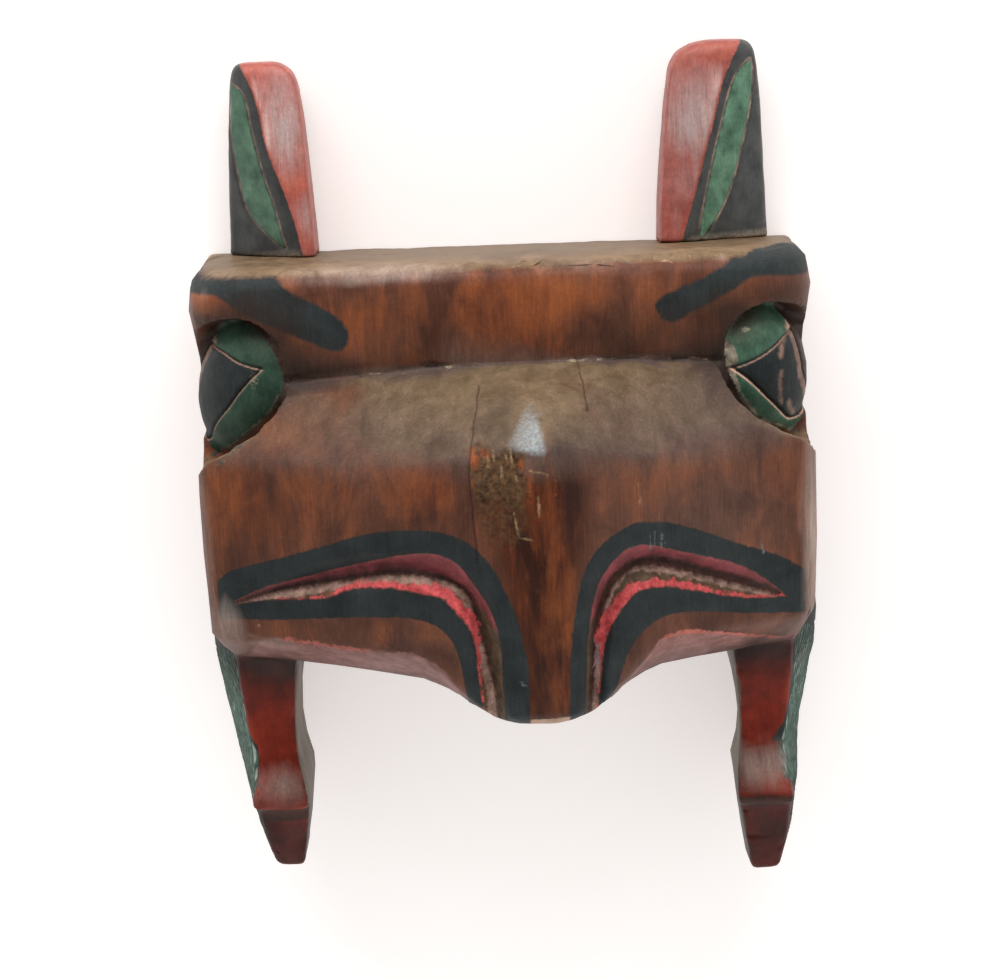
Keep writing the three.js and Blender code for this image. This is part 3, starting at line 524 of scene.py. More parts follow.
# What the material reads: paints as distances in millimetres, and wear, dirt, painted light and painted
# shade as strengths.
fields = {
    "almond": almond,
    "eye_green": eye_green,
    # Painted highlight on the cut wall that faces the light, positive, and painted shade on the other wall,
    # negative.
    "cut_light_and_shade": np.clip(lit * 5, -1, 1) + 0.25 * line_cut,
    "eye_rim": (0.5 - eye_rim - 0.15 * np.clip(y - 42, 0, 40)
                + 4.5 * (x > 0) * (x < 90) * (eye_green > -0.5) * np.exp(-((y - 52) / 6) ** 2)),
    "eye_strip": np.maximum(strip, np.where(almond > 0, strokes(x, y, EYE_STREAKS), -5)),
    # Painted light and shade as a change of brightness: the brow's upper front, the right eye's green, the
    # right side, the legs' middles, the mouths' upper edges and lower walls lit; the feet, the leg tops
    # under the jaw and the groove bottoms shaded.
    "painted_light_and_shade": (0.35 * fade(y, 56, 4) * (z > FRONT_LOW_Z) * (almond < -1)
              + 1.35 * (eye_green > 0) * (almond < 0) * (x > 0) - 0.58 * fade(y, -129, -4)
              + 0.14 * np.clip(x / 60, -0.8, 1) * fade(y, 30, -10) * fade(y, -60, 10)
              - 0.45 * fade(y, LEG_TOP_Y, -2) * fade(y, -84, 16) * (z < 110)
              + 0.2 * near(y, -95, 18)
              + np.where((gap > 0) & (low_wall < 0),
                         0.45 * np.exp(-upper_edge / 1.2) - 0.4 * np.exp(-groove / 2.5), 0)
              + np.where(x < 0, 0.3, 0.05) * (low_wall > 0.5)),
    "raw": np.minimum(0.12 * raw, np.interp(y, (0, 12, 24), (-0.02, 0.06, 0.5))),
    "orange": spots(x, y, ORANGE) * (z > FRONT_LOW_Z),
    "pale_stroke": 0.6 * strokes(x, y, PALE_STROKES),
    "scratch": 0.6 * strokes(x, y, SCRATCHES),
    # A painted highlight on the knuckle, where the light from above glints.
    "knuckle_highlight": (np.clip(inside(x, y, closed(KNUCKLE_HIGHLIGHT, 3)) / 2.5 + 0.2, 0, 1)
                * np.clip(1.25 - np.hypot(x - 9, y - 35) / 11, 0.2, 1)),
    "crease_line": strokes(x, y, ((0.3, *CREASE),)),
    "crack": crack,
    "bare_wood": np.where(unpainted, 3, -3),
    "panel": panel,
    "panel_cut": panel_cut,
    "lip": np.where(front & (normals[:, 2] > 0.05), lip, -20),
    "mouth": np.where(front & (low_wall < 0), np.minimum(gap, maroon_wide - upper_edge), -20),
    "salmon": np.where((x > 52) | ((x > -88) & (x < -52)), 0.7 - np.abs(bevel - 0.3), -20),
    "channel": np.where(front, gap, -20),
    "low_red": np.where(front, np.minimum(red_wide - lower_edge, gap), -20),
    # A painted highlight of pale mauve on the red lower wall of the right mouth.
    "mauve_highlight": np.where(front & (x > 0), np.minimum(low_wall, 6 - np.abs(y + 44)), -20),
    # Painted shade along the bottom of each mouth's groove.
    "groove_shade": np.where(gap > 0, (np.where(x > 0, 1.9, 1.2) - groove
                                      - 0.04 * np.clip(-30 - y, 0, 90)), -5),
    "groove_dust": np.where(gap > 0, np.minimum(low_wall + 0.2, 3.2 - groove), -5),
    "brow": np.minimum(brow, np.maximum((0.86 - normals[:, 1]) * 6,
                                        np.minimum((x - 88) * 0.6, (z - 81 + (x - 88) * 1.35) * 0.5))),
    "leg_red": np.where((normals[:, 2] > 0.2) & (y < LEG_TOP_Y), leg_red, -20),
    # The red under the jaw, greyed and lightened to mauve by a painted reflection of the white floor.
    "bevel": np.where((y > -76) & (z > 62) & (normals[:, 2] > -0.3), bevel, -20),
    "black_flank": np.where(flank > 0, np.minimum(np.minimum(flank, 3), -44 - y), -5),
    "foxy": spots(x, y, FOXY) * (z > 40),
    # Painted shade under the jaw and the legs' lips, round the eyeballs, under the brows and round the
    # knuckle, with some soot.
    "painted_shade_and_soot": np.maximum(np.maximum(spots(x, y, SHADE_AND_SOOT_SPOTS) * (z > 40), 1.1 * socket),
                        np.where((eye_green < 0) & (y > 44), np.clip(1.1 - eye_rim / 6, 0, 1), 0)),
    "scuff": spots(x, y, SCUFFS) * (z > FRONT_LOW_Z),
    "edge": spread,
    "worn": (np.maximum(fade(spread, 0.08, 0.22) * np.clip(0.35 + near(y, 87.5, 4), 0, 1),
                        1.4 * fade(y, -66.8, -0.6) * beak_tip)
             * (eye_rim > 8)),
    # Pale spots: painted sheen and reflection on the cheeks, the brow's top edge and the legs' lips, and
    # wear at the jaw's corners.
    "pale": spots(x, y, PALE_SHEEN_AND_WEAR) * np.where(y > 78, fade(z, 66, 5),
                                         np.where(y > -72, fade(z, 82, 14),
                                                  np.clip(normals[:, 2] * 2 - 0.2, 0, 1))),
    "gloss": spots(x, y, GLOSSY) * (z > FRONT_LOW_Z),
    "up": normals[:, 1],
    # Grey of dust and a painted sheen of the light from above, on the slope over the beak and on the right
    # jaw.
    "slope": (0.5 * spots(x, y, ((78, 4, 34, 22, 1),)) * (z > 70)
              + fade(y + 3 * ripple(places, 12, 12), 20, 11) * fade(y, 55, -2)
              * (normals[:, 2] > -0.2) * fade(z, 50, 12)),
    "ridge": 0.06 * np.minimum(13.5 - np.abs(x - BEAK_X - 1) + np.clip(y + 20, 0, 60) * 0.2, 26 - y),
}
for name, values in fields.items():
    keep_field(head, name, values * PAINT_SOFTNESS.get(name, 1))
# Far from paint edges and cuts the skin is thinned out again, most of all behind and inside.
drawn = ("lip", "channel", "low_red", "brow", "leg_red", "bevel", "eye_green", "panel", "raw")
near_paint = np.min([np.abs(fields[name]) for name in drawn], axis=0)
drawn_fine = ((fields["pale_stroke"] > -1.2) | (fields["scratch"] > -0.8) | (crack < 2)
              | ((y < -108) & (y > -134) & (normals[:, 2] > 0.2)) | ((beak_tip > 0) & (y < -59)))
plain = (~drawn_fine & (near_paint > 1.4) & (np.abs(spread) < 0.14)
         & (np.maximum(gap, eye_green) < 0) & (panel < 0))
on_points(head, plain, bpy.ops.mesh.decimate, ratio=PLAIN_SHARE)
move_points(head, points_of(head)[0])

BLACK = ("1e2222", "2c3131")
HEAD_COLOURS = {
    "stain": ("46291e", "683f2e"),
    "foxy": ("733a20", "8c4c26"),
    # Painted shade with some soot.
    "shade_and_soot": "2b1f19",
    # Slope and top: dust, and a painted sheen of the light from above.
    "slope": ("463b34", "5f5049"),
    "top_dust_and_sheen": ("604e38", "826c54"),
    "worn": "b09078",
    # Painted sheen with some wear.
    "pale": "a8958a",
    "ridge": ("2b140c", "562812"),
    # Red greyed to mauve by a painted reflection of the white floor.
    "bevel": ("634139", "8e6560"),
    "salmon": ("8a4a3e", "b8675a"),
    "leg_red": ("44120a", "842a18"),
    "eye_green": ("1f3227", "395041"),
    "eye_rim": ("2b1f19", "6d675a"),
    "eye_strip": ("5c463b", "94796a"),
    "mouth": ("5e2f30", "844044"),
    # Painted shade in the grooves.
    "groove_shade": ("2c1b16", "4a2d27"),
    "channel": ("33261c", "5c4936"),
    "low_red": ("8a2d30", "c85656"),
    "groove_dust": ("5e463c", "a08274"),
    # A painted highlight on the red.
    "mauve_highlight": ("5a4744", "96767a"),
    "black_flank": BLACK,
    "brow": BLACK,
    "lip": BLACK,
    "almond": BLACK,
    "raw": ("2c1c12", "664a30"),
    "crease_line": ("6e5c4a", "b09a80"),
    "orange": "94481e",
    "pale_stroke": ("5c4430", "a48662"),
    "scratch": ("43494a", "7c8382"),
    # A painted highlight.
    "knuckle_highlight": "989fa0",
    "scuff": "a8a08c",
    "bare_wood": ("4a3d32", "6c5c4a"),
    "panel": ("22342c", "4a6256"),
    "dash": "a3b2a8",
    # Pale bare wood as a painted highlight on the lit wall of a cut, and painted shade on its other wall.
    "cut_light_and_shade": "a07c6c",
    "cut_shade": "1a1210",
    # Hollow corners and creases darkened: painted shade, with some dirt.
    "corner_shade_and_dirt": "1d1410",
    "crack": "231611",
    "settled_dust": "a89c8e",
}


def linear(colour):
    """An sRGB hex value as linear red, green, blue and alpha."""
    parts = [int(colour[i:i + 2], 16) / 255 for i in (0, 2, 4)]
    return [c / 12.92 if c <= 0.04045 else ((c + 0.055) / 1.055) ** 2.4 for c in parts] + [1]


def add(tree, kind, sockets=None, **settings):
    """Adds a shader node with its settings. A socket gets a value, or a link from a node or an output."""
    node = tree.nodes.new("ShaderNode" + kind)
    for name, value in settings.items():
        setattr(node, name, value)
    for name, value in (sockets or {}).items():
        if isinstance(value, bpy.types.Node):
            value = next(output for output in value.outputs if output.enabled)
        if isinstance(value, bpy.types.NodeSocket):
            tree.links.new(value, node.inputs[name])
        else:
            node.inputs[name].default_value = value
    return node


def new_material(name):
    """An empty material, its tree and its coordinates in millimetres."""
    material = bpy.data.materials.new(name)
    material.use_nodes = True
    tree = material.node_tree
    tree.nodes.clear()
    place = add(tree, "TexCoord").outputs["Object"]
    place = add(tree, "VectorMath", {0: place, "Scale": 1 / MM}, operation="SCALE")
    return material, tree, place


def lay_paints(tree, place, colour, tones, paints):
    """Lays coats over a colour: name of field and tones, ragged edge in mm, rub and patch size."""
    coats = None
    edge = add(tree, "Attribute", attribute_name="edge").outputs["Fac"]
    fine = add(tree, "VectorMath", {0: place, 1: (0.5, 0.12, 0.5)}, operation="MULTIPLY")
    worn_spots = add(tree, "TexNoise", {"Vector": fine, "Scale": 1.0, "Detail": 6.0, "Roughness": 0.7})
    for number, (name, ragged, rub, patch) in enumerate(paints):
        own = add(tree, "Attribute", attribute_name=name).outputs["Fac"]
        wobble = add(tree, "TexNoise", {"Vector": place, "Scale": 0.45, "Detail": 3.0, "W": float(number)},
                     noise_dimensions="4D")
        wobble = add(tree, "MapRange", {0: wobble, 1: 0.3, 2: 0.7, 3: -ragged, 4: ragged})
        own = add(tree, "Math", {0: own, 1: wobble}, operation="ADD")
        cover = add(tree, "MapRange", {0: own, 1: -0.2, 2: 0.2})
        worn = add(tree, "Math", {0: edge, 1: 0.8, 2: worn_spots}, operation="MULTIPLY_ADD")
        worn = add(tree, "MapRange", {0: worn, 1: 0.86 - rub, 2: 0.98 - rub, 3: 1.0, 4: 0.0})
        cover = add(tree, "Math", {0: cover, 1: worn}, operation="MULTIPLY")
        tone = add(tree, "TexNoise", {"Vector": place, "Scale": 1 / patch, "Detail": 4.0, "Roughness": 0.6,
                                      "W": number + 80.0}, noise_dimensions="4D")
        tone = add(tree, "MapRange", {0: tone, 1: 0.32, 2: 0.68})
        deep, pale = (linear(end) for end in tones[name])
        tone = add(tree, "Mix", {0: tone, 6: deep, 7: pale}, data_type="RGBA")
        colour = add(tree, "Mix", {0: cover, 6: colour, 7: tone}, data_type="RGBA")
        coats = cover if coats is None else add(tree, "Math", {0: coats, 1: cover}, operation="MAXIMUM")
    return colour, coats


# Western red cedar, knife cut, stained brown and painted with flat milk-like colours under a thin
# wax: it gives the eye fine upright grain, foxy rubbed streaks and a soft, uneven shine.
cedar, tree, place = new_material("stained_painted_cedar")
# Each pattern's waves a millimetre across, up and out of the face, then its detail, roughness and swirl.
patterns = {}
for name, waves, detail, roughness, swirl in (("grain", (0.7, 0.02, 0.5), 4.0, 0.55, 0.6),
                                              ("broad", (0.06, 0.03, 0.04), 5.0, 0.6, 0.6),
                                              ("streak", (0.13, 0.022, 0.1), 4.0, 0.65, 0.5),
                                              ("fibre", (2.4, 0.1, 1.4), 3.0, 0.6, 0.4)):
    drawn_out = add(tree, "VectorMath", {0: place, 1: waves}, operation="MULTIPLY")
    patterns[name] = add(tree, "TexNoise", {"Vector": drawn_out, "Scale": 1.0, "Detail": detail,
                                            "Roughness": roughness, "Distortion": swirl})
grain, broad, streak, fibre = patterns.values()
speck = add(tree, "TexNoise", {"Vector": place, "Scale": 0.8, "Detail": 5.0, "Roughness": 0.75})
stain = add(tree, "MapRange", {0: broad, 1: 0.34, 2: 0.66})
deep, pale = (linear(end) for end in HEAD_COLOURS["stain"])
colour = add(tree, "Mix", {0: stain, 6: deep, 7: pale}, data_type="RGBA")
read = {name: add(tree, "Attribute", attribute_name=name).outputs["Fac"]
        for name in ("foxy", "painted_shade_and_soot", "slope", "up", "edge", "worn", "pale", "scuff", "gloss", "cut_light_and_shade",
                     "crack", "panel_cut", "ridge", "knuckle_highlight", "painted_light_and_shade", "orange")}
# Foxy streaks come through everywhere a little, and strongly where the wood is rubbed. The slope and all
# that faces up are greyed by dust and handling and lightened by a painted sheen of the light from above,
# less where they are rubbed foxy.
patchy = add(tree, "Math", {0: broad, 1: streak}, operation="ADD")
patchy = add(tree, "Math", {0: patchy, 1: 0.5}, operation="MULTIPLY")
fox = add(tree, "Math", {0: read["foxy"], 1: 0.45, 2: patchy}, operation="MULTIPLY_ADD")
thin = add(tree, "Math", {0: read["foxy"], 1: -1.0, 2: 1.25}, operation="MULTIPLY_ADD")
patchy = add(tree, "MapRange", {0: broad, 1: 0.3, 2: 0.55, 3: 0.55, 4: 1.0})
thin = add(tree, "Math", {0: thin, 1: patchy}, operation="MULTIPLY", use_clamp=True)
ridge_tone = add(tree, "MapRange", {0: streak, 1: 0.38, 2: 0.62})
grey_tone = add(tree, "MapRange", {0: streak, 1: 0.3, 2: 0.7})
for own, low, high, most, name, tone in ((read["ridge"], -0.2, 0.3, 0.9, "ridge", ridge_tone),
                                         (fox, 0.56, 0.86, 0.9, "foxy", stain),
                                         (read["slope"], 0.0, 1.0, 0.85, "slope", grey_tone),
                                         (read["up"], 0.7, 0.93, 0.9, "top_dust_and_sheen", grey_tone)):
    own = add(tree, "MapRange", {0: own, 1: low, 2: high, 4: most})
    if tone is grey_tone:
        own = add(tree, "Math", {0: own, 1: thin}, operation="MULTIPLY")
    deep, pale = (linear(end) for end in HEAD_COLOURS[name])
    tone = add(tree, "Mix", {0: tone, 6: deep, 7: pale}, data_type="RGBA")
    colour = add(tree, "Mix", {0: own, 6: colour, 7: tone}, data_type="RGBA")
# The stain is rubbed off in flakes along the edges, and the hollow and the legs' inner sides are bare.
own = add(tree, "Math", {0: read["worn"], 1: speck}, operation="MULTIPLY")
own = add(tree, "MapRange", {0: own, 1: 0.24, 2: 0.5, 4: 0.8})
colour = add(tree, "Mix", {0: own, 6: colour, 7: linear(HEAD_COLOURS["worn"])}, data_type="RGBA")
colour = lay_paints(tree, place, colour, HEAD_COLOURS, (
    ("bare_wood", 0.4, 0, 14),
    ("raw", 0.15, 0, 1.6),
    ("pale_stroke", 0.2, 0.1, 0.8),
    ("crease_line", 0.25, 0, 1.5),
))[0]
colour, coats = lay_paints(tree, place, colour, HEAD_COLOURS, (
    ("bevel", 0.2, 0.1, 6),
    ("salmon", 0.3, 0, 4),
    ("leg_red", 0.3, 0.05, 18),
    ("eye_green", 0.3, 0.08, 9),
    ("eye_rim", 0.5, 0.1, 4),
    ("channel", 0.4, 0, 5),
    ("mouth", 0.4, 0, 7),
    ("groove_dust", 0.3, 0, 4),
    ("groove_shade", 0.15, 0, 4),
    ("mauve_highlight", 1.0, 0, 3),
    ("low_red", 0.45, 0.12, 3),
    ("black_flank", 0.3, 0.05, 14),
    ("panel", 0.3, 0, 3),
    ("brow", 0.12, 0.0, 12),
    ("lip", 0.15, 0.0, 12),
    ("almond", 0.1, 0.04, 5),
    ("eye_strip", 0.15, 0, 5),
    ("scratch", 0.15, 0, 2),
))
# Over the paint: light dashes in the panels, pale spots of dust and wear with painted sheen, a painted
# highlight on the knuckle, rubbed and scuffed spots, and painted shade with some soot. The cuts show pale
# wood as a painted highlight on the wall that faces the light and painted shade on the other, hollow
# corners get painted shade with some dirt, and cracks hold dark dirt.
for field, pattern, low, high, most, tone in (
        ("panel_cut", None, 0.3, 0.75, 0.85, "dash"), ("pale", streak, 0.08, 0.55, 0.75, "pale"),
        ("knuckle_highlight", speck, 0.1, 0.6, 0.85, "knuckle_highlight"), ("orange", speck, 0.3, 0.6, 0.8, "orange"),
        ("scuff", speck, 0.4, 0.62, 0.6, "scuff"), ("painted_shade_and_soot", broad, 0.05, 0.5, 0.88, "shade_and_soot"),
        ("cut_light_and_shade", None, 0.3, 0.9, 0.8, "cut_light_and_shade"), ("cut_light_and_shade", None, -0.2, -0.7, 0.8, "cut_shade"),
        ("edge", None, -0.12, -0.5, 0.85, "corner_shade_and_dirt"), ("crack", None, 0.55, 0.1, 0.6, "crack")):
    own = read[field]
    if pattern is not None:
        own = add(tree, "Math", {0: own, 1: pattern}, operation="MULTIPLY")
    own = add(tree, "MapRange", {0: own, 1: low, 2: high, 4: most})
    colour = add(tree, "Mix", {0: own, 6: colour, 7: linear(HEAD_COLOURS[tone])}, data_type="RGBA")
# The grain and its fibres darken all a little, the painted light and shade brighten and darken the colour
# where light and shade fall, and fine dust lies on what faces up.
shade = add(tree, "MapRange", {0: grain, 1: 0.3, 2: 0.7, 3: 0.9, 4: 1.07})
hair = add(tree, "MapRange", {0: fibre, 1: 0.3, 2: 0.7, 3: 0.84, 4: 1.12})
mottle = add(tree, "MapRange", {0: speck, 1: 0.3, 2: 0.7, 3: 0.88, 4: 1.12})
painted_light_and_shade = add(tree, "Math", {0: read["painted_light_and_shade"], 1: 1.0}, operation="ADD")
for own in (shade, hair, mottle, painted_light_and_shade):
    colour = add(tree, "VectorMath", {0: colour, "Scale": own}, operation="SCALE")
dust = add(tree, "Math", {0: read["up"], 1: 0.05, 2: speck}, operation="MULTIPLY_ADD")
dust = add(tree, "MapRange", {0: dust, 1: 0.68, 2: 0.76, 4: 0.35})
colour = add(tree, "Mix", {0: dust, 6: colour, 7: linear(HEAD_COLOURS["settled_dust"])}, data_type="RGBA")
rough = add(tree, "MapRange", {0: streak, 1: 0.3, 2: 0.7, 3: 0.4, 4: 0.52})
rough = add(tree, "Math", {0: coats, 1: 0.1, 2: rough}, operation="MULTIPLY_ADD")
rough = add(tree, "Math", {0: read["gloss"], 1: -0.2, 2: rough}, operation="MULTIPLY_ADD")
relief = add(tree, "Math", {0: fibre, 1: 0.5, 2: grain}, operation="MULTIPLY_ADD")
relief = add(tree, "Math", {0: speck, 1: 0.4, 2: relief}, operation="MULTIPLY_ADD")
bump = add(tree, "Bump", {"Strength": 0.45, "Distance": 0.25 * MM, "Height": relief})
surface = add(tree, "BsdfPrincipled", {"Base Color": colour, "Roughness": rough, "Normal": bump,
                                       "IOR": 1.45, "Specular IOR Level": 0.16})
add(tree, "OutputMaterial", {"Surface": surface})
head.data.materials.append(cedar)
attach(head, "root")
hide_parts("mask_head")


# The two ears: thin cedar boards carved on their own and set upright on the head. The front is red,
# the outer bevel black with a green leaf inside a cut line, and the back is left as stained wood.
EAR_GRID = 0.8
EAR_ROUND_Y, EAR_ROUNDING = 93, 16  # above this the corners are rounded in so many steps
EAR_LINE_DEPTH, EAR_LINE_REACH = 0.5, 0.8
# Light is painted light and shade: how much brighter or darker the red front and the outer bevel are
# coloured, and the arris is the edge between them, from the top down. Foot is where the ear meets the head,
# and how much that rises to the right. Bloom is chalky pink with a painted sheen, shine a painted highlight
# and glow stronger red: soft spots given by middle, reach and strength.
EARS = {
    "ear_left": {
        "side": -1, "painted_light_and_shade": (1.14, 1.1), "foot": (88, 0.13),
        "arris": ((-97.5, 168), (-96.8, 163.9), (-92.5, 155.2), (-89.6, 143.8), (-87.9, 132.7),
                  (-82.9, 118), (-79.3, 106.3), (-76.5, 94.5), (-75, 85)),
        "leaf": ((-101, 156.5), (-96, 151.9), (-93.7, 138.4), (-90.4, 122.5), (-87.1, 110.9),
                 (-84, 97.5), (-82.7, 93.2), (-85.6, 94.8), (-90.5, 99.3), (-96.3, 105.8),
                 (-99.3, 117.6), (-101.5, 136)),
        "chalk_and_sheen": ((-81, 140, 8, 17, 1.0), (-72, 105, 6, 8, 0.7)),
        "shine": ((-91, 150, 2.5, 8, 0.8), (-87, 137, 2.5, 9, 0.8)),
        "glow": ((-86, 163, 14, 4, 0.7), (-79, 118, 11, 4.5, 1.0), (-82, 125, 2, 10, 0.6)),
    },
    "ear_right": {
        "side": 1, "painted_light_and_shade": (0.95, 1.7), "foot": (88.5, 0),
        "arris": ((98, 168), (97.1, 164.1), (92.8, 156), (89.8, 149.3), (86.3, 136.2), (82.8, 124.2),
                  (79, 110.9), (73.4, 93), (71, 85)),
        "leaf": ((101, 157.5), (95.1, 151.3), (90, 136), (84.7, 115.1), (79.6, 91), (82.6, 92.3),
                 (89.6, 102.8), (94.7, 116.1), (98.7, 131.7), (101.8, 149.7)),
        "chalk_and_sheen": ((79, 137, 11, 14, 1.1), (70, 100, 3, 12, 0.3), (78, 112, 10, 10, 0.5)),
        "shine": ((87.5, 148, 3, 7, 0.9), (83.5, 137, 2.5, 7, 0.5), (78, 118, 2, 8, 0.3)),
        "glow": ((90, 162, 12, 4, 1.0), (74, 158, 4, 10, 0.5), (80, 116, 12, 10, 0.25)),
    },
}
EAR_COLOURS = {
    "stain": ("3a231a", "5c3424"),
    "red": ("8a3e34", "ac5c50"),
    # Chalky pink with a painted sheen.
    "chalk_and_sheen": "ae9894",
    # A painted highlight.
    "shine": "d8b0a8",
    "glow": "b85a42",
    "black": ("1c1e1e", "3a3b39"),
    "leaf": ("22402f", "54765f"),
    "line": ("2a1d18", "8d7a68"),
    "dust": "7c7062",
}
# The same cedar under a thicker, chalky paint, pale in the middle with chalk and a painted sheen: fine
# upright grain shows through it, and its shine is uneven.
red_ear, tree, place = new_material("painted_cedar_board")
grain_place = add(tree, "VectorMath", {0: place, 1: (0.5, 0.02, 0.5)}, operation="MULTIPLY")
grain = add(tree, "TexNoise", {"Vector": grain_place, "Scale": 1.0, "Detail": 5.0, "Roughness": 0.65})
tone = add(tree, "MapRange", {0: grain, 1: 0.3, 2: 0.7})
deep, pale = (linear(end) for end in EAR_COLOURS["stain"])
colour = add(tree, "Mix", {0: tone, 6: deep, 7: pale}, data_type="RGBA")
colour = lay_paints(tree, place, colour, EAR_COLOURS, (
    ("red", 0.3, 0.05, 5),
    ("black", 0.3, 0.1, 8),
    ("leaf", 0.2, 0.05, 9),
    ("line", 0.15, 0, 7),
))[0]
speck = add(tree, "TexNoise", {"Vector": place, "Scale": 0.8, "Detail": 5.0, "Roughness": 0.75})
for field, strength in (("glow", 0.7), ("chalk_and_sheen", 0.9), ("shine", 0.8), ("dust", 0.9)):
    own = add(tree, "Attribute", attribute_name=field).outputs["Fac"]
    own = add(tree, "Math", {0: own, 1: speck if field == "dust" else grain}, operation="MULTIPLY")
    own = add(tree, "MapRange", {0: own, 1: 0.08, 2: 0.55, 4: strength})
    colour = add(tree, "Mix", {0: own, 6: colour, 7: linear(EAR_COLOURS[field])}, data_type="RGBA")
# Painted light and shade: each ear's red front and outer bevel made brighter or darker in colour.
lift = add(tree, "Attribute", attribute_name="painted_light_and_shade").outputs["Fac"]
colour = add(tree, "VectorMath", {0: colour, "Scale": lift}, operation="SCALE")
fibre_place = add(tree, "VectorMath", {0: place, 1: (2.4, 0.12, 1.4)}, operation="MULTIPLY")
fibre = add(tree, "TexNoise", {"Vector": fibre_place, "Scale": 1.0, "Detail": 3.0, "Roughness": 0.6,
                               "Distortion": 0.4})
for own in (fibre, speck):
    own = add(tree, "MapRange", {0: own, 1: 0.3, 2: 0.7, 3: 0.84, 4: 1.14})
    colour = add(tree, "VectorMath", {0: colour, "Scale": own}, operation="SCALE")
rough = add(tree, "MapRange", {0: grain, 1: 0.3, 2: 0.7, 3: 0.38, 4: 0.55})
bump = add(tree, "Bump", {"Strength": 0.3, "Distance": 0.3 * MM, "Height": grain})
surface = add(tree, "BsdfPrincipled", {"Base Color": colour, "Roughness": rough, "Normal": bump, "IOR": 1.5,
                                       "Specular IOR Level": 0.4})
add(tree, "OutputMaterial", {"Surface": surface})

for node, ear in EARS.items():
    piece = carved_copy(node, "painted_" + node, EAR_GRID)
    smooth(piece, flatness(piece) > EDGE_TURN, PLANE_SMOOTHING)
    smooth(piece, points_of(piece)[0][:, 1] > EAR_ROUND_Y, EAR_ROUNDING)
    places, normals = points_of(piece)
    x, y, z = places.T
    leaf = np.where(normals[:, 2] > 0.1, inside(x, y, closed(ear["leaf"], 4)), -20)
    line = near(leaf, -0.6, EAR_LINE_REACH)
    depth = 0.22 * ripple(places, 12) + 0.08 * ripple(places, 4, 1) - EAR_LINE_DEPTH * line
    move_points(piece, places + normals * depth[:, None])
    arris = rounded(ear["arris"], 4)[::-1]
    outward = (x - np.interp(y, arris[:, 1], arris[:, 0])) * ear["side"]
    keep_field(piece, "edge", bulge(piece, 4))
    keep_field(piece, "red", np.where(normals[:, 2] > -0.5, -outward, -20))
    # Chalky pink with a painted sheen, a painted highlight, and stronger red, on the red front only.
    red_side = fade(outward, 0, -1.5) * np.clip(normals[:, 2] * 2 - 0.4, 0, 1)
    for name in ("chalk_and_sheen", "shine", "glow"):
        keep_field(piece, name, spots(x, y, ear[name]) * red_side)
    # Painted light and shade, one value for the red front and one for the outer bevel.
    keep_field(piece, "painted_light_and_shade", np.where(outward > 0, ear["painted_light_and_shade"][1], ear["painted_light_and_shade"][0]))
    keep_field(piece, "black", np.where(normals[:, 2] > -0.2, outward, -20))
    keep_field(piece, "leaf", leaf)
    keep_field(piece, "line", np.where(normals[:, 2] > 0.1, 0.35 - np.abs(leaf + 0.6), -5))
    foot = ear["foot"][0] + (x + 97) * ear["foot"][1]
    keep_field(piece, "dust", fade(y, foot + 3.5, -4) * np.clip(0.5 + outward / 8, 0.3, 1)
               * (normals[:, 2] > 0.1))
    piece.data.materials.append(red_ear)
    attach(piece, "root")
    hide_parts(node)


# The floor: a wide sheet of near-white, matt paper under the mask. It glows a little, because in the
# photograph it is as bright as in a room full of daylight.
FLOOR_METRES = 6
PAPER_COLOUR, PAPER_GLOW, PAPER_GLOW_STRENGTH = "e2dfde", "fff6f2", 0.42
bpy.ops.object.select_all(action="DESELECT")
bpy.ops.mesh.primitive_plane_add(size=FLOOR_METRES, location=(0, 0, 0))
floor = bpy.context.object
floor.name = "floor"
paper, tree, place = new_material("white_paper")
surface = add(tree, "BsdfPrincipled", {"Base Color": linear(PAPER_COLOUR), "Roughness": 0.85,
                                       "Emission Color": linear(PAPER_GLOW),
                                       "Emission Strength": PAPER_GLOW_STRENGTH})
add(tree, "OutputMaterial", {"Surface": surface})
floor.data.materials.append(paper)

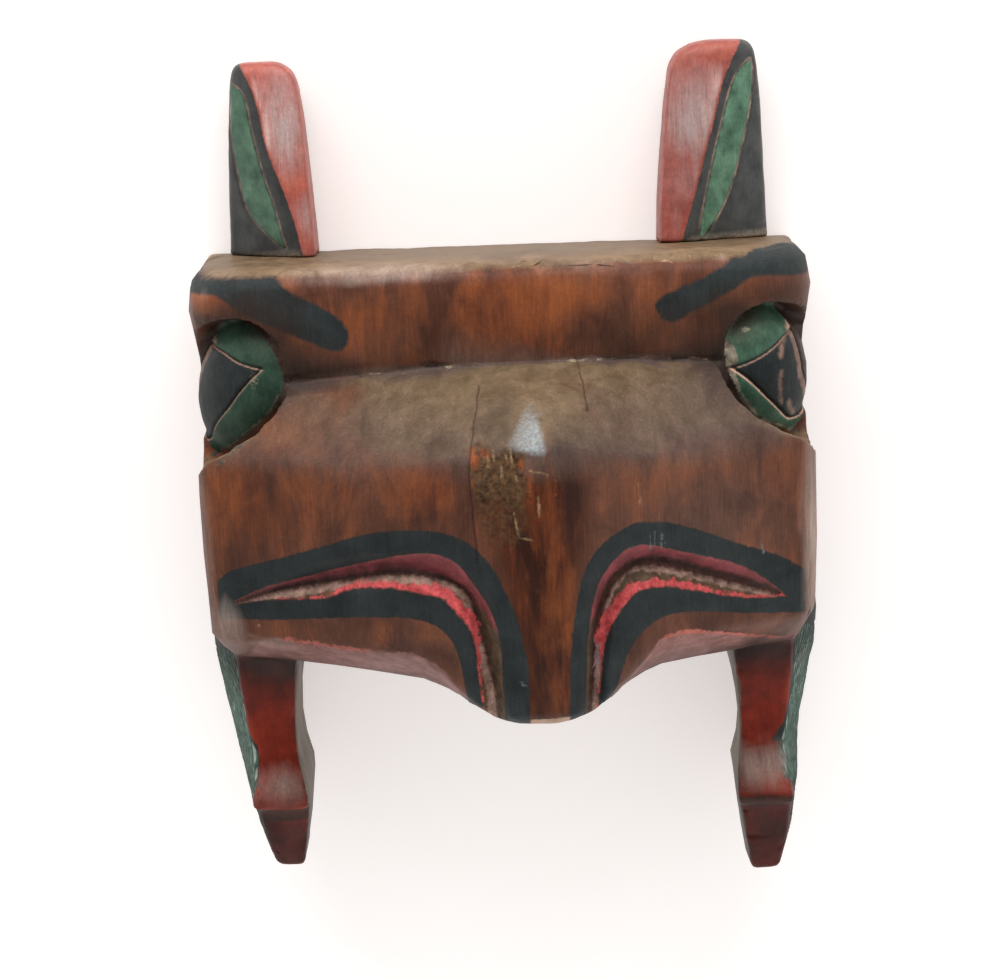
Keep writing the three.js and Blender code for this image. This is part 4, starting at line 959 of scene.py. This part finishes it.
# Soft daylight from above the ears, a white board that throws a little back, and an even pale room
# that is darker overhead. Lamps are given by name, place, width, height and power, in metres and watts.
LAMPS = (("window", (-0.1, 1.35, 0.75), 1.6, 0.8, 20), ("white_board", (0.1, -1.2, 0.6), 1.6, 0.8, 7))
LAMP_AIM = Vector((0, 0, 0.05))
world = bpy.data.worlds.new("white_room")
bpy.context.scene.world = world
world.use_nodes = True
sky = world.node_tree
way = add(sky, "TexCoord").outputs["Generated"]
way = add(sky, "SeparateXYZ", {0: way}).outputs["Z"]
way = add(sky, "MapRange", {0: way, 1: 0.45, 2: 0.95, 3: 0.95, 4: 0.3})
sky.links.new(way.outputs[0], sky.nodes["Background"].inputs["Strength"])
sky.nodes["Background"].inputs["Color"].default_value = linear("ffffff")
bpy.context.scene.view_settings.view_transform = "Standard"
for name, place, wide, high, power in LAMPS:
    lamp = bpy.data.lights.new(name, "AREA")
    lamp.shape = "RECTANGLE"
    lamp.size, lamp.size_y = wide, high
    lamp.energy = power
    holder = bpy.data.objects.new(name, lamp)
    bpy.context.collection.objects.link(holder)
    holder.location = place
    holder.rotation_euler = (LAMP_AIM - holder.location).to_track_quat("-Z", "Y").to_euler()

# The camera of the photograph: 0.9 m off, 13 degrees towards the ears from straight above.
CAMERA_TARGET = (-4.5, -0.15, 60)
CAMERA_AWAY, CAMERA_TILT, CAMERA_ROLL = 900, 13, -2.5
CAMERA_LENS, CAMERA_SENSOR = 84.58, 36
camera_data = bpy.data.cameras.new("camera")
camera_data.sensor_width = CAMERA_SENSOR
camera_data.lens = CAMERA_LENS
camera = bpy.data.objects.new("camera", camera_data)
bpy.context.collection.objects.link(camera)
tilt = Matrix.Rotation(math.radians(-CAMERA_TILT), 4, "X")
roll = Matrix.Rotation(math.radians(CAMERA_ROLL), 4, "Z")
camera.matrix_world = (Matrix.Translation(Vector(CAMERA_TARGET) * MM) @ tilt
                       @ Matrix.Translation((0, 0, CAMERA_AWAY * MM)) @ roll)
bpy.context.scene.camera = camera
